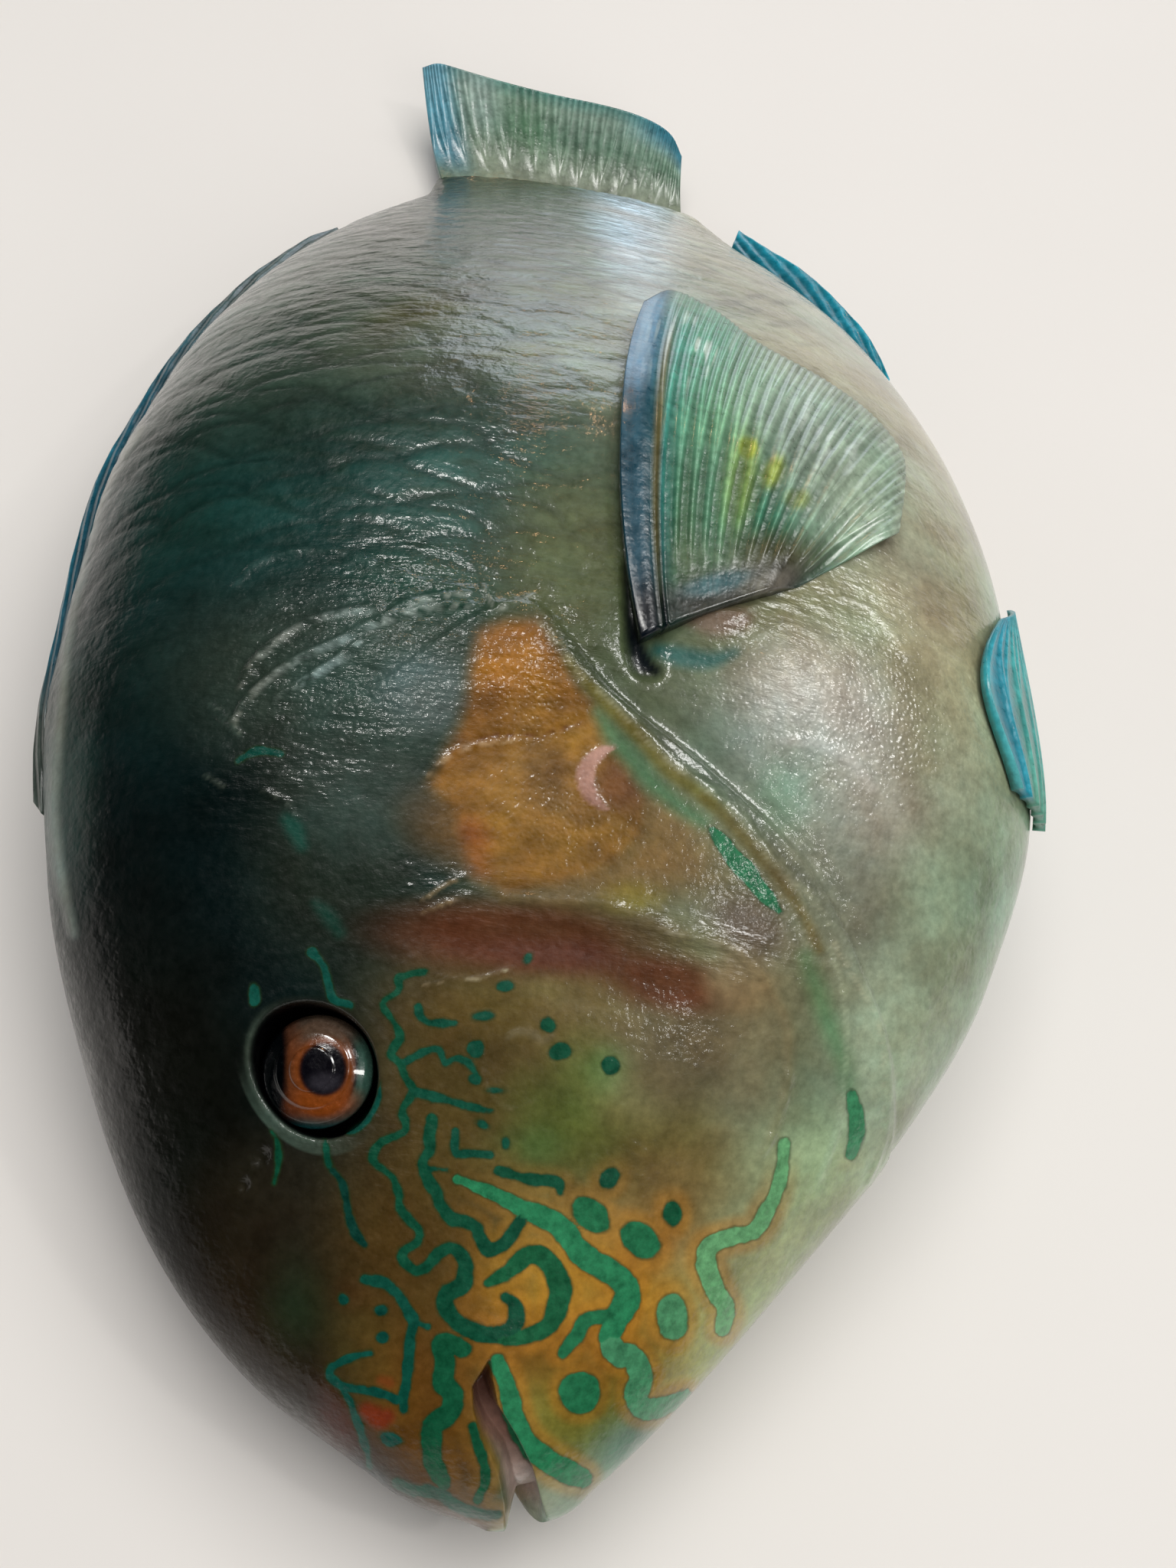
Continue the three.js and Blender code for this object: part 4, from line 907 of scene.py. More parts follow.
def build_fin(name, place, thickness, rows, columns, paint, ridges, material):
    u, v = np.meshgrid(np.arange(rows + 1) / rows, np.arange(columns + 1) / columns, indexing="ij")
    point, normal = place(u, v)
    ridge = ridges(u, v)
    half = (thickness(u, v) * mix(0.6, 1, ridge) / 2)[..., None]
    faces_up = point + normal * half
    faces_down = point - normal * half
    points = np.concatenate([faces_up.reshape(-1, 3), faces_down.reshape(-1, 3)])
    points[:, 2] = np.maximum(points[:, 2], 0)
    wide = columns + 1
    layer = (rows + 1) * wide
    i, j = np.meshgrid(np.arange(rows), np.arange(columns), indexing="ij")
    a = (i * wide + j).reshape(-1)
    top = np.stack([a, a + 1, a + wide + 1, a + wide], -1)
    under = np.stack([a + layer, a + layer + wide, a + layer + wide + 1, a + layer + 1], -1)
    j = np.arange(columns)
    tip = rows * wide + j
    root_rim = np.stack([j, j + layer, j + layer + 1, j + 1], -1)
    tip_rim = np.stack([tip + 1, tip + layer + 1, tip + layer, tip], -1)
    i = np.arange(rows) * wide
    first = np.stack([i + wide, i + wide + layer, i + layer, i], -1)
    e = i + columns
    last = np.stack([e, e + layer, e + wide + layer, e + wide], -1)
    faces = np.concatenate([top, under, root_rim, tip_rim, first, last])
    if signed_volume(points, faces) < 0:
        faces = faces[:, ::-1]
    x, y = to_picture(point)
    tint = paint(u, v, x, y, ridge).reshape(-1, 3)
    fields = {"tint": np.concatenate([tint] * 2), "ray": np.concatenate([ridge.reshape(-1)] * 2),
              "out": np.concatenate([u.reshape(-1)] * 2)}
    return make_piece(name + "_skin", points, faces.tolist(), fields, material, [name])


def signed_volume(points, quads):
    a, b, c, d = (points[quads[:, k]] for k in range(4))
    first = np.einsum("ij,ij->i", a, np.cross(b, c))
    second = np.einsum("ij,ij->i", a, np.cross(c, d))
    return (first + second).sum()


DORSAL = {"start": 100, "end": 254, "rays": 19, "root": 2.5, "slant": 68, "side": -1, "lean": -0.6}
dorsal_height = smooth_line([(0, 1.5), (0.15, 1.8), (0.3, 3), (0.5, 3.8), (0.92, 4.6), (1, 3)])
ANAL = {"start": 228, "end": 280, "rays": 12, "root": 2.5, "slant": 52, "side": 1, "lean": 0.1}
anal_height = smooth_line([(0, 3), (0.25, 6), (0.6, 7), (1, 5)])
FOLD = 0.8


def ridge_fin(fin, edge, height):
    """The place of a folded fin that stands on the back (side -1) or the belly (side 1)."""
    side, lean = fin["side"], fin["lean"]

    def place(u, v):
        along = mix(fin["start"], fin["end"], v)
        slope = (edge(along + 1) - edge(along - 1)) / 2
        size = np.hypot(1, slope)
        out = np.stack([side / size, side * slope / size, 0 * slope], -1)
        rearward = np.stack([-slope / size, 1 / size, 0 * slope], -1)
        rise = mix(-fin["root"], height(v), u)
        above = np.maximum(rise, 0)
        point = np.stack([-edge(along), along, middle_height(along)], -1)
        point = point + out * rise[..., None]
        point = point + rearward * (above * math.tan(math.radians(fin["slant"])) * FOLD)[..., None]
        point[..., 2] += above * lean
        normal = np.array([-side * lean, 0, 1]) / math.hypot(lean, 1)
        return point + SHIFT, np.broadcast_to(normal, point.shape)
    return place


CAUDAL = {"rays": 14, "sink": 4, "root_upper": 30, "root_lower": -25, "curl": 1.8, "tilt": 0.9, "wave": 0.9}
caudal_length = smooth_line([(0, 26), (0.12, 25.5), (0.3, 24), (0.5, 22), (0.88, 18), (1, 15)])
caudal_rise = smooth_line([(0, 11.5), (0.15, 14), (0.5, 14.5), (0.8, 12), (1, 9)])
caudal_tip_up = smooth_line([(0, 40), (0.12, 36), (0.5, 3), (0.88, -20), (1, -23)])


def caudal_place(u, v):
    along = mix(LENGTH - CAUDAL["sink"], LENGTH + caudal_length(v), u)
    up = mix(mix(CAUDAL["root_upper"], CAUDAL["root_lower"], v), caudal_tip_up(v), u ** 0.8)
    wave = CAUDAL["wave"] * np.sin(9 * v + 1) * u
    height = mix(4.9, 2.4, u) + caudal_rise(v) * u ** CAUDAL["curl"] + wave
    normal = np.stack([0 * u, -CAUDAL["tilt"] * u, 1 + 0 * u], -1)
    normal /= np.linalg.norm(normal, axis=-1, keepdims=True)
    return np.stack([-up, along, height], -1) + SHIFT, normal


PECTORAL = {"rays": 15, "upper": (121, -11), "lower": (139, -37), "bow": 9, "lift": 0.15, "spread": 2.6}
pectoral_tip_along = smooth_line([(0, 198), (0.1, 206), (0.22, 202), (0.4, 194), (0.6, 189), (0.75, 184),
                                  (0.87, 174), (1, 155)])
pectoral_tip_up = smooth_line([(0, -9), (0.1, -15), (0.22, -22), (0.4, -30), (0.6, -43), (0.75, -51),
                               (0.87, -56), (1, -53.5)])


def pectoral_thickness(u, v=0):
    return mix(3, 1, np.maximum(u, 0) ** 0.55)


def pectoral_spot(u, v):
    base_along = mix(PECTORAL["upper"][0], PECTORAL["lower"][0], v)
    base_up = mix(PECTORAL["upper"][1], PECTORAL["lower"][1], v)
    bow = PECTORAL["bow"] * (1 - v) * 2 * u * (1 - u)
    return mix(base_along, pectoral_tip_along(v), u), mix(base_up, pectoral_tip_up(v), u) + bow


def left_pectoral_place(u, v):
    along, up = pectoral_spot(u, v)
    lift = pectoral_thickness(u) / 2 + GAP + PECTORAL["lift"] + PECTORAL["spread"] * u * (1 - 0.4 * v)
    sunk = 2.4 * step(0.72, 1, v) * (1 - step(0.3, 0.9, u))
    return flank_place(along, up, 1, lift - sunk)


def right_pectoral_place(u, v):
    along, up = pectoral_spot(u, v)
    point, _ = flank_place(along, up, -1, pectoral_thickness(u) / 2 + GAP)
    point[..., 2] = np.maximum(point[..., 2], pectoral_thickness(u) / 2)
    return point, np.broadcast_to(np.array([0.0, 0, -1]), point.shape)


PELVIC = {"rays": 6, "start": 118, "length": 45, "turn": 174, "width": 27, "lift": 1.5, "spread": 0.7}


def pelvic_place(side):
    def place(u, v):
        along = mix(PELVIC["start"], PELVIC["start"] + PELVIC["length"] * (1 - 0.28 * v), u)
        spread = mix(0.5, 1, np.sin(np.pi * np.minimum(u * 0.75 + 0.12, 1)))
        turn = np.radians(PELVIC["turn"] - PELVIC["width"] * spread * v)
        return body_place(along, turn, side, PELVIC["lift"] + PELVIC["spread"] * u)
    return place


def band(u, low, high, soft=0.05):
    return step(low - soft, low + soft, u) * (1 - step(high - soft, high + soft, u))


# Patches of colour on the left pectoral fin, in the picture, like those of the skin
PECTORAL_PATCHES = [
    ("green rays", 900, 600, 50, 160, 5, 0.7, "2c7a5c", 0.8),
    ("pale green", 905, 520, 60, 90, 10, 0.8, "5c9a80", 0.8),
    ("bright green", 960, 560, 50, 90, 15, 0.8, "74a078", 0.8),
    ("grey margin", 1060, 590, 60, 110, -30, 0.8, "9aaa98", 0.85),
    ("pale corner", 1120, 650, 60, 80, 0, 0.8, "93a48c", 0.8),
    ("lime", 962, 640, 22, 60, 10, 0.7, "8a9a1c", 0.75),
    ("lime point", 975, 588, 12, 14, 0, 0.4, "a3ad12", 0.8),
    ("lime point low", 1008, 620, 14, 22, 25, 0.5, "9aa618", 0.7),
    ("lime point side", 1040, 655, 16, 12, 0, 0.6, "8c9a30", 0.6),
    ("brown root", 990, 730, 90, 34, 0, 0.7, "4f4020", 0.85),
    ("brown rays", 900, 720, 26, 90, 0, 0.8, "4c4a22", 0.7),
    ("teal front", 832, 680, 40, 250, 2, 0.35, "0a3c4c", 0.95),
    # painted highlight: a lighter blue at the top of the fin's leading edge
    ("blue tip", 832, 450, 40, 60, 20, 0.6, "3a6a86", 0.8),
    ("pale middle", 930, 660, 40, 90, 0, 0.8, "5c8f74", 0.5),
    ("flesh lobe", 950, 782, 110, 34, -14, 0.5, "352c2c", 0.95),
    ("teal lobe", 930, 768, 40, 12, -14, 0.6, "3c6a72", 0.8),
    ("grey lobe", 1000, 766, 34, 14, -20, 0.7, "6a6458", 0.7),
    ("navy root", 850, 830, 44, 74, 0, 0.6, "050c16", 0.97),
]


# (x, y, reach x, reach y, tilt, amount) of places where glints are painted into the left pectoral fin's
# colour
PAINTED_GLINT_PLACES = [(905, 455, 50, 50, 0, 1), (1085, 570, 60, 70, -30, 0.8)]


def paint_pectoral(u, v, x, y, ridge):
    tint = ramp([(0, "2c6a54"), (0.5, "3f8466"), (1, "6f8f7c")], u)
    tint = mix(tint, colour("124a5c"), (1 - step(0.06, 0.12, v))[..., None])
    if x.min() > 0:
        tint = paint_patches(tint, x, y, PECTORAL_PATCHES)
    streak = band(v, 0.115, 0.14, 0.015) * band(u, 0.12, 0.8, 0.1)
    tint = mix(tint, colour("6a5a22"), (0.8 * streak)[..., None])
    bright = band(v, 0.15, 0.19, 0.02) * band(u, 0.2, 0.85, 0.1)
    tint = mix(tint, colour("3f9c8a"), (0.6 * bright)[..., None])
    between = 1 - ridge
    dark = between * band(v, 0.12, 0.75, 0.1) * (1 - step(0.5, 1, u))
    tint = mix(tint, colour("1c3c24"), (0.55 * dark)[..., None])
    tint = mix(tint, colour("97a08c"), (0.7 * step(0.82, 1, u) * step(0.3, 0.5, v))[..., None])
    streaks = flecks(v, u, 0.012, 0.3)
    # painted highlights: near-white flecks stand in for the fin's wet glints
    painted_glint = step(0.62, 0.85, flecks(v, u, 0.014, 0.09)) * patch_amount(x, y, PAINTED_GLINT_PLACES)
    tint = mix(tint, colour("c4d0c6"), (0.75 * painted_glint)[..., None])
    return tint * (mix(0.86, 1.1, ridge) * mix(0.78, 1.2, streaks))[..., None]


def paint_strip(u, v, x, y, ridge):
    tint = ramp([(0, "16463c"), (0.35, "2c5a44"), (0.55, "0f5264"), (0.85, "0f5c70"), (1, "1a7084")], u)
    rear = step(0.5, 0.8, v) * 0.75
    tint = mix(tint, colour("3c4f44"), rear[..., None])
    tint = mix(tint, colour("4a554e"), (1 - step(0.08, 0.2, v))[..., None])
    return tint * mix(0.5, 0.95, ridge)[..., None]


def paint_anal(u, v, x, y, ridge):
    tint = ramp([(0, "3a6a5a"), (0.3, "1c5a50"), (0.5, "0f6a7c"), (0.85, "12869c"), (1, "1c94a8")], u)
    return tint * mix(0.6, 1.15, ridge)[..., None]


def paint_pelvic(u, v, x, y, ridge):
    tint = ramp([(0, "5f9a86"), (0.3, "3f9c94"), (0.7, "359c9c"), (1, "2a8c94")], u)
    tint = mix(tint, colour("1f8ca0"), band(v, 0.75, 1, 0.1)[..., None])
    return tint * mix(0.75, 1.12, ridge)[..., None]


def paint_caudal(u, v, x, y, ridge):
    tint = ramp([(0, "5c6c5c"), (0.35, "6a7c66"), (0.7, "5a7864"), (0.9, "7c9484"), (1, "4c8078")], u)
    upper = 1 - step(0.1, 0.22, v)
    blue = ramp([(0, "3c6a74"), (0.5, "3f8094"), (1, "5c98ac")], u)
    tint = mix(tint, blue, (0.9 * upper * step(0.1, 0.4, u))[..., None])
    tint = mix(tint, colour("2c5c34"), (0.6 * bump(v - 0.36, 0.08) * bump(u - 0.7, 0.35))[..., None])
    tint = mix(tint, colour("8fa39c"), (0.6 * bump(v - 0.24, 0.05) * step(0.5, 0.8, u))[..., None])
    tint = mix(tint, colour("20748c"), (0.8 * step(0.6, 0.85, v) * step(0.75, 0.95, u))[..., None])
    tint = mix(tint, colour("747c6a"), (0.85 * (1 - step(0.2, 0.75, u)) * step(0.1, 0.3, v))[..., None])
    return tint * mix(0.85, 1.08, ridge)[..., None]


def caudal_ridges(u, v):
    rays = ray_ridges(u, v, CAUDAL["rays"], 0.25)
    return mix(0.7, rays, step(0.1, 0.8, u) * (0.4 + 0.6 * flecks(u, v, 0.2, 0.06)))


def pectoral_rays(u, v):
    return ray_ridges(u, v, PECTORAL["rays"], 0.3)


def pectoral_ridges(u, v):
    """The rays, behind a smooth round leading edge and above a fleshy root."""
    leading = 1 - 0.75 * np.minimum(abs(v - 0.05) / 0.055, 1) ** 2
    fleshy = (1 - step(0.1, 0.26, u)) * step(0.12, 0.2, v)
    return mix(mix(leading, pectoral_rays(u, v), step(0.1, 0.13, v)), 0.6, fleshy)


def build_fins(material):
    for name, fin, edge, height, thick, paint in (
            ("dorsal_fin", DORSAL, back, dorsal_height, 3.2, paint_strip),
            ("anal_fin", ANAL, belly, anal_height, 3, paint_anal)):
        build_fin(name, ridge_fin(fin, edge, height), lambda u, v, t=thick: mix(t, 1.1, u), 40,
                  (fin["rays"] - 1) * 24, paint, lambda u, v, r=fin["rays"]: folded_ridges(u, v, r),
                  material)
    build_fin("caudal_fin", caudal_place, lambda u, v: mix(4.4, 1.1, u ** 0.6), 90,
              (CAUDAL["rays"] - 1) * 30, paint_caudal, caudal_ridges, material)
    build_fin("pectoral_fin_left", left_pectoral_place, pectoral_thickness, 100,
              (PECTORAL["rays"] - 1) * 30, paint_pectoral, pectoral_ridges, material)
    build_fin("pectoral_fin_right", right_pectoral_place, pectoral_thickness, 60,
              (PECTORAL["rays"] - 1) * 12, paint_pectoral, pectoral_rays, material)
    for name, side in (("pelvic_fin_left", 1), ("pelvic_fin_right", -1)):
        build_fin(name, pelvic_place(side), lambda u, v: mix(2.2, 0.9, u), 50,
                  (PELVIC["rays"] - 1) * 24, paint_pelvic,
                  lambda u, v: ray_ridges(u, v, PELVIC["rays"], 0.35), material)


# Eyes

EYE_PROFILE = [(0, 0.35), (3.1, 0.1), (3.25, -0.15), (5.2, -0.6), (5.6, -1), (7.4, -2), (8.1, -3.2),
               (8.1, -4), (7.6, -5.8), (5, -8), (0, -8.4)]
EYE_PATCHES = [
    ("iris edge", 418, 1394, 50, 64, 0, 0.06, "100c0a", 1),
    ("iris", 418, 1394, 46, 60, 0, 0.05, "5c3218", 1),
    ("iris low", 421, 1440, 44, 22, 0, 0.6, "7a3a0c", 0.9),
    ("iris top", 424, 1346, 42, 24, 0, 0.6, "4a3c30", 0.9),
    ("iris left", 378, 1385, 14, 50, 0, 0.8, "5a3018", 0.6),
    ("iris ring", 422, 1397, 38, 42, 0, 0.16, "743a12", 0.8),
    ("pupil edge", 422, 1397, 32, 35, 0, 0.1, "2c120a", 1),
    ("pupil", 422, 1397, 29, 32, 0, 0.08, "08070d", 1),
    # painted reflection: the lower part of the pupil is greyer
    ("pupil low", 424, 1414, 20, 12, 0, 0.6, "2c2a30", 0.8),
    ("socket shade", 212, 1385, 163, 230, 0, 0.04, "010305", 1),
]


def build_eye(name, side, material):
    turn = turn_at(*map(float, EYE_PLACE))
    along = np.array(float(EYE_PLACE[0]))
    point, normal = body_place(along, turn, 1, np.array(0.0))
    tangent = np.cross(normal, [1, 0, 0])
    tangent /= np.linalg.norm(tangent)
    third = np.cross(normal, tangent)
    segments, rings = 128, 90
    profile = np.array(EYE_PROFILE, float)
    run = np.concatenate([[0], np.cumsum(np.hypot(*np.diff(profile, axis=0).T))])
    at = np.linspace(0, run[-1], rings + 1)[1:-1]
    radius, height = np.interp(at, run, profile[:, 0]), np.interp(at, run, profile[:, 1])
    angle = 2 * np.pi * np.arange(segments) / segments
    spread = np.cos(angle)[:, None] * tangent + np.sin(angle)[:, None] * third
    shell = point + radius[:, None, None] * spread + height[:, None, None] * normal
    ends = point + np.array([[EYE_PROFILE[0][1]], [EYE_PROFILE[-1][1]]]) * normal
    points = np.concatenate([ends[:1], shell.reshape(-1, 3), ends[1:]])
    k = np.arange(segments)
    rows = len(radius)
    beside = (k + 1) % segments
    faces = np.stack([0 * k, 1 + k, 1 + beside], -1).tolist()
    for row in range(rows - 1):
        a = 1 + row * segments
        faces += np.stack([a + k, a + segments + k, a + segments + beside, a + beside], -1).tolist()
    a = 1 + (rows - 1) * segments
    faces += np.stack([a + beside, a + k, 0 * k + a + segments], -1).tolist()
    x, y = to_picture(points)
    # painted shadow: the eyeball is near-black on its left and top, where the socket shades it, and
    # grey-teal only to the right and below
    rim = step(-10, 40, (x - 424) + 0.7 * (y - 1393))[:, None]
    low = step(1420, 1460, y)[:, None]
    rim_tint = mix(colour("2f4a40"), colour("0f3f40"), low)
    tint = mix(np.broadcast_to(colour("02060c"), points.shape), rim_tint, rim)
    tint = paint_patches(tint, x, y, EYE_PATCHES)
    if side < 0:
        middle = float(middle_height(along))
        points[:, 2] = 2 * middle - points[:, 2]
        faces = [face[::-1] for face in faces]
    return make_piece(name + "_ball", points, faces, {"tint": tint}, material, [name])


# Materials

def node_material(name):
    material = bpy.data.materials.new(name)
    material.use_nodes = True
    tree = material.node_tree
    shader = tree.nodes["Principled BSDF"]
    return material, tree, shader


def add(tree, kind, inputs=None, **settings):
    node = tree.nodes.new(kind)
    for key, value in settings.items():
        setattr(node, key, value)
    for key, value in (inputs or {}).items():
        if isinstance(value, bpy.types.NodeSocket):
            tree.links.new(value, node.inputs[key])
        else:
            node.inputs[key].default_value = value
    return node


def attribute(tree, name, output="Fac"):
    return add(tree, "ShaderNodeAttribute", attribute_name=name).outputs[output]


def noise(tree, place, scale, detail=3, roughness=0.5):
    node = add(tree, "ShaderNodeTexNoise", {"Vector": place, "Scale": scale, "Detail": detail,
                                            "Roughness": roughness})
    return node.outputs["Fac"]


def remap(tree, value, low, high, to_low=0.0, to_high=1.0, smooth=False):
    node = add(tree, "ShaderNodeMapRange", {"Value": value, "From Min": low, "From Max": high,
                                            "To Min": to_low, "To Max": to_high})
    if smooth:
        node.interpolation_type = "SMOOTHSTEP"
    return node.outputs["Result"]


def blend_colour(tree, factor, a, b, mode="MIX"):
    node = add(tree, "ShaderNodeMix", data_type="RGBA", blend_type=mode)
    for key, value in ((0, factor), (6, a), (7, b)):
        if isinstance(value, bpy.types.NodeSocket):
            tree.links.new(value, node.inputs[key])
        else:
            node.inputs[key].default_value = value
    return node.outputs[2]


def rgba(code):
    return (*colour(code), 1)


def maths(tree, operation, a, b, c=0.0):
    return add(tree, "ShaderNodeMath", {0: a, 1: b, 2: c}, operation=operation).outputs[0]


def stretched(tree, place, x, y, z):
    return add(tree, "ShaderNodeMapping", {"Vector": place, "Scale": (x, y, z)}).outputs[0]


def grey(tree, value):
    return add(tree, "ShaderNodeCombineColor", {0: value, 1: value, 2: value}).outputs[0]


def speckle(tree, tint, value, low, high):
    """The tint, darker where a noise is low and lighter where it is high."""
    shade = grey(tree, remap(tree, value, 0.3, 0.7, low, high))
    return blend_colour(tree, 1.0, tint, shade, "MULTIPLY")


def skin_material():
    material, tree, shader = node_material("wet_skin")
    place = add(tree, "ShaderNodeTexCoord").outputs["Object"]
    tint = attribute(tree, "tint", "Color")
    ink = attribute(tree, "ink")
    ink_tint = attribute(tree, "ink_tint", "Color")
    edge = attribute(tree, "scale_edge")
    tone = attribute(tree, "scale_tone")
    scaly = attribute(tree, "scaly")
    wet = attribute(tree, "wet")
    pebble = attribute(tree, "pebble")
    broad = noise(tree, place, 75, 5, 0.62)
    fine = noise(tree, place, 650, 4, 0.65)
    drift = noise(tree, place, 38, 4, 0.6)
    hue = blend_colour(tree, remap(tree, drift, 0.35, 0.65), (1.16, 0.97, 0.82, 1), (0.84, 1.05, 1.1, 1))
    mottled = blend_colour(tree, 0.7, tint, hue, "MULTIPLY")
    mottled = speckle(tree, mottled, broad, 0.66, 1.34)
    mottled = speckle(tree, mottled, fine, 0.82, 1.18)
    shade = remap(tree, tone, 0, 1, 0.8, 1.18)
    shaded = blend_colour(tree, 1.0, mottled, grey(tree, shade), "MULTIPLY")
    scaled = blend_colour(tree, scaly, mottled, shaded)
    uneven = maths(tree, "MULTIPLY", edge, remap(tree, broad, 0.35, 0.65, 0.3, 1.0))
    rim = remap(tree, uneven, 0.1, 1.0, 0, 0.55)
    scaled = blend_colour(tree, rim, scaled, rgba("04140f"))
    wobble = maths(tree, "ADD", ink, remap(tree, noise(tree, place, 420, 2), 0.3, 0.7, -1.8, 1.8))
    halo = remap(tree, wobble, -4, 1, 0, 0.7, smooth=True)
    outline = blend_colour(tree, halo, scaled, rgba("1c3418"))
    streaky = speckle(tree, ink_tint, fine, 0.65, 1.4)
    filled = blend_colour(tree, remap(tree, wobble, -1, 1.6, 0, 1, smooth=True), outline, streaky)
    tree.links.new(filled, shader.inputs["Base Color"])
    tree.links.new(remap(tree, fine, 0.3, 0.7, 0.3, 0.48), shader.inputs["Roughness"])
    dull = attribute(tree, "dull")
    tree.links.new(remap(tree, dull, 0, 1, 0.3, 0.05), shader.inputs["Specular IOR Level"])
    tree.links.new(remap(tree, dull, 0, 1, 0.9, 0.15), shader.inputs["Coat Weight"])
    shader.inputs["Coat Roughness"].default_value = 0.1
    shader.inputs["Coat IOR"].default_value = 1.36
    swell = noise(tree, place, 160, 3, 0.55)
    wrinkles = noise(tree, stretched(tree, place, 0.28, 1, 0.6), 520, 4, 0.6)
    folds = noise(tree, stretched(tree, place, 0.35, 1, 0.6), 190, 3, 0.6)
    cells = add(tree, "ShaderNodeTexVoronoi", {"Vector": place, "Scale": 1500}, feature="SMOOTH_F1")
    grain = cells.outputs[0]
    height = maths(tree, "MULTIPLY", noise(tree, place, 900, 3, 0.55), 0.25)
    height = maths(tree, "MULTIPLY_ADD", swell, 0.9, height)
    height = maths(tree, "MULTIPLY_ADD", wrinkles, maths(tree, "MULTIPLY", wet, 2.4), height)
    height = maths(tree, "MULTIPLY_ADD", folds, maths(tree, "MULTIPLY", wet, 3.2), height)
    height = maths(tree, "MULTIPLY_ADD", grain, maths(tree, "MULTIPLY", pebble, 0.6), height)
    relief = add(tree, "ShaderNodeBump", {"Strength": 0.5, "Distance": 0.0009, "Height": height}).outputs[0]
    tree.links.new(relief, shader.inputs["Normal"])
    tree.links.new(relief, shader.inputs["Coat Normal"])
    return material


def fin_material():
    material, tree, shader = node_material("fin_skin")
    place = add(tree, "ShaderNodeTexCoord").outputs["Object"]
    tint = attribute(tree, "tint", "Color")
    ray = attribute(tree, "ray")
    fine = noise(tree, place, 600, 4, 0.6)
    broad = noise(tree, place, 110, 4, 0.6)
    mottled = speckle(tree, tint, fine, 0.75, 1.25)
    mottled = speckle(tree, mottled, broad, 0.75, 1.25)
    tree.links.new(mottled, shader.inputs["Base Color"])
    tree.links.new(remap(tree, fine, 0.3, 0.7, 0.25, 0.45), shader.inputs["Roughness"])
    shader.inputs["Coat Weight"].default_value = 0.5
    shader.inputs["Coat Roughness"].default_value = 0.16
    shader.inputs["Coat IOR"].default_value = 1.35
    ripple = noise(tree, place, 260, 3, 0.6)
    mixed = maths(tree, "MULTIPLY_ADD", ripple, 2.2, maths(tree, "MULTIPLY_ADD", fine, 0.5, ray))
    relief = add(tree, "ShaderNodeBump", {"Strength": 0.3, "Distance": 0.0005, "Height": mixed}).outputs[0]
    tree.links.new(relief, shader.inputs["Normal"])
    return material


def eye_material():
    material, tree, shader = node_material("eye_surface")
    place = add(tree, "ShaderNodeTexCoord").outputs["Object"]
    tint = attribute(tree, "tint", "Color")
    fine = noise(tree, place, 1200, 4, 0.6)
    mottled = speckle(tree, tint, fine, 0.75, 1.25)
    tree.links.new(mottled, shader.inputs["Base Color"])
    tree.links.new(remap(tree, fine, 0.3, 0.7, 0.15, 0.3), shader.inputs["Roughness"])
    shader.inputs["Coat Weight"].default_value = 0.6
    shader.inputs["Coat Roughness"].default_value = 0.04
    relief = add(tree, "ShaderNodeBump", {"Strength": 0.2, "Distance": 0.0003, "Height": fine}).outputs[0]
    tree.links.new(relief, shader.inputs["Normal"])
    return material


def floor_material():
    material, tree, shader = node_material("pale_floor")
    place = add(tree, "ShaderNodeTexCoord").outputs["Object"]
    cloudy = noise(tree, place, 4, 3, 0.5)
    pale = blend_colour(tree, cloudy, rgba("d8d4cf"), rgba("e6e2dd"))
    tree.links.new(pale, shader.inputs["Base Color"])
    shader.inputs["Roughness"].default_value = 0.7
    return material


# The setting

FLOOR_REACH = 4
FLOOR_DROP = 0.0003


def make_floor(material):
    mesh = bpy.data.meshes.new("floor")
    reach = FLOOR_REACH
    corners = [(-reach, -reach, 0), (reach, -reach, 0), (reach, reach, 0), (-reach, reach, 0)]
    mesh.from_pydata(corners, [], [(0, 1, 2, 3)])
    mesh.materials.append(material)
    floor = bpy.data.objects.new("floor", mesh)
    floor.location.z = -FLOOR_DROP
    bpy.context.scene.collection.objects.link(floor)


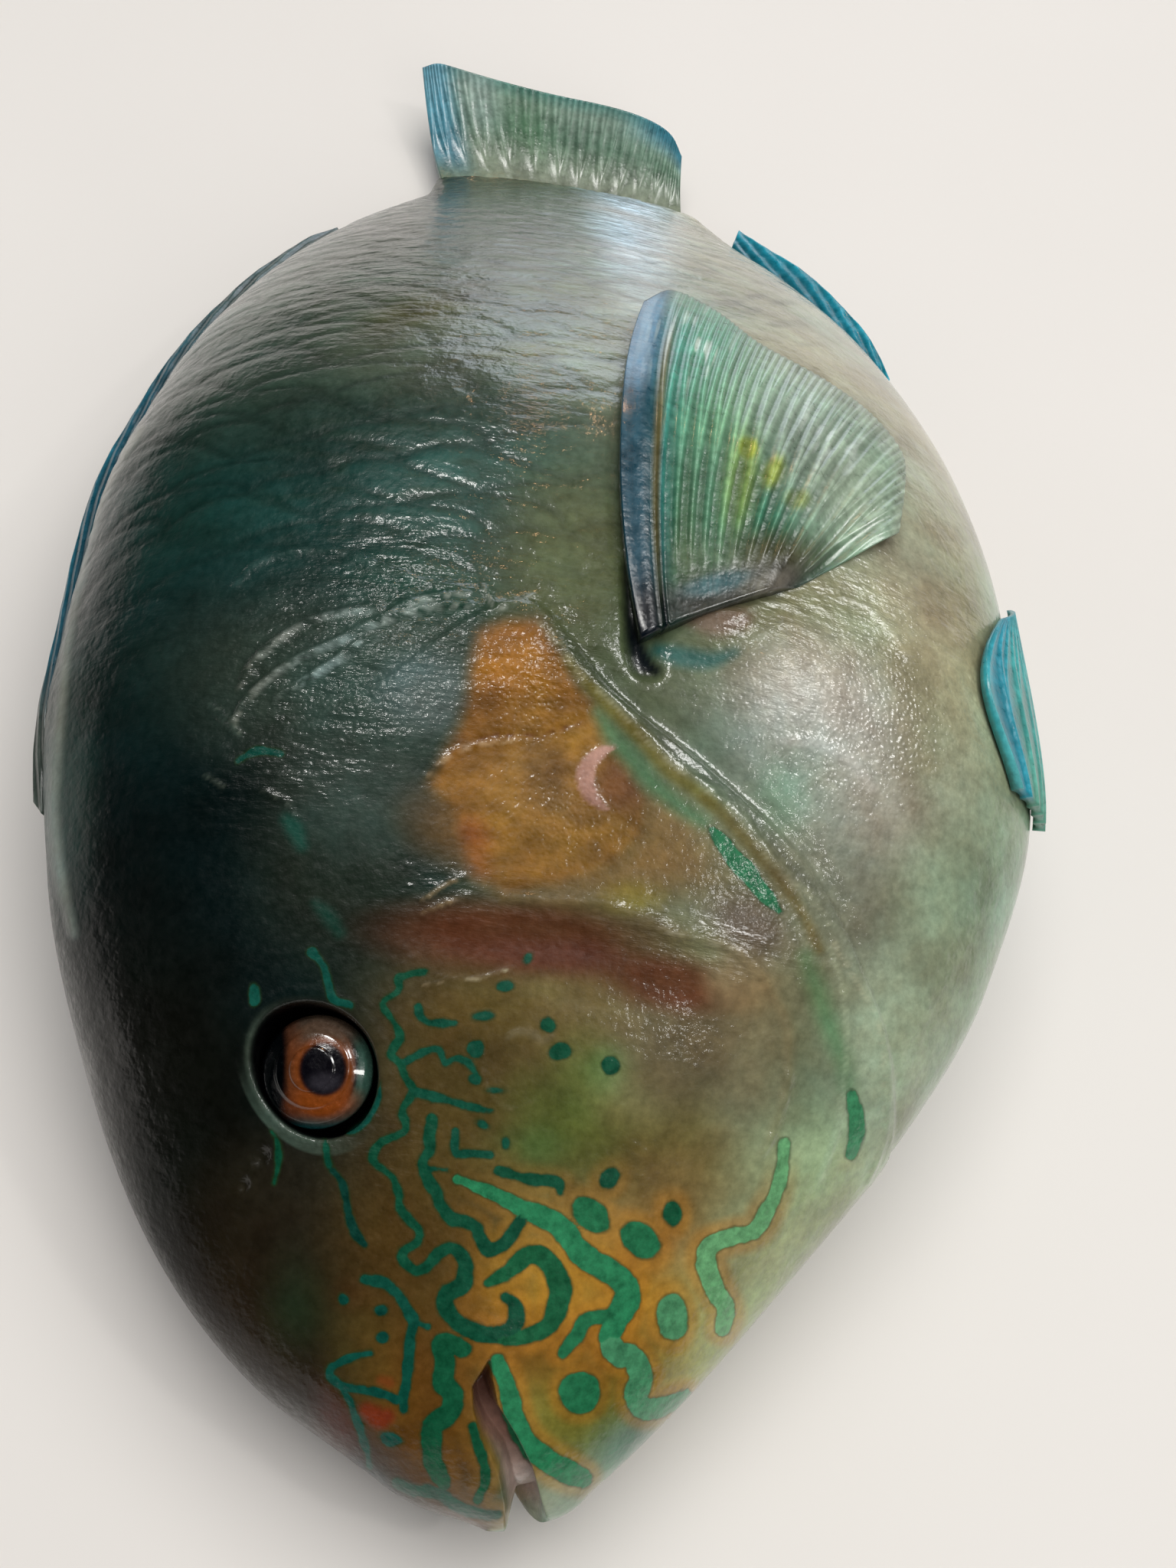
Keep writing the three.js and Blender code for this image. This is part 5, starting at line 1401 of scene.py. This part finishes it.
# (name, bearing from the tail's side, height above the floor in degrees, distance, size, watts, colour)
LAMPS = [
    ("overhead", 20, 80, 1.5, 1.5, 22, (1, 0.98, 0.95)),
    ("ceiling lamp", -38, 68, 1.5, 0.24, 7, (1, 0.98, 0.95)),
    ("warm lamp", 2, 36, 1.6, 0.08, 1.5, (1, 0.55, 0.28)),
    ("window", 4, 11, 2.6, 1.0, 9, (0.82, 0.9, 1)),
    ("side lamp", 58, 49, 1.5, 0.4, 11, (1, 0.99, 0.97)),
    ("front lamp", 109, 58, 1.5, 0.12, 1.5, (1, 0.98, 0.95)),
    ("front", 155, 35, 1.7, 0.9, 5, (1, 0.97, 0.93)),
]

# Lamps so broad and soft that the wet skin doesn't mirror them, and lamps that only make its glints
UNSEEN_LAMPS = ("overhead", "front")
GLINT_LAMPS = ("ceiling lamp", "warm lamp", "side lamp")
# The even light of the room
ROOM_TINT = (0.9, 0.93, 1, 1)
ROOM_STRENGTH = 0.25


def make_lights():
    for name, bearing, rise, distance, size, watts, tint in LAMPS:
        data = bpy.data.lights.new(name, "AREA")
        data.size = size
        data.energy = watts
        data.color = tint
        lamp = bpy.data.objects.new(name, data)
        lamp.visible_glossy = name not in UNSEEN_LAMPS
        lamp.visible_diffuse = name not in GLINT_LAMPS
        a, b = math.radians(bearing), math.radians(rise)
        place = Vector((math.sin(a) * math.cos(b), math.cos(a) * math.cos(b), math.sin(b))) * distance
        turn = (-place).to_track_quat("-Z", "Y").to_matrix().to_4x4()
        lamp.matrix_world = Matrix.Translation(place) @ turn
        bpy.context.scene.collection.objects.link(lamp)
    world = bpy.data.worlds.new("soft_room")
    world.use_nodes = True
    world.node_tree.nodes["Background"].inputs[0].default_value = ROOM_TINT
    world.node_tree.nodes["Background"].inputs[1].default_value = ROOM_STRENGTH
    world.cycles_visibility.glossy = False
    bpy.context.scene.world = world
    bpy.context.scene.view_settings.view_transform = "Standard"


make_camera()
build_skin(skin_material())
build_fins(fin_material())
eye_finish = eye_material()
build_eye("eye_left", 1, eye_finish)
build_eye("eye_right", -1, eye_finish)
make_floor(floor_material())
make_lights()
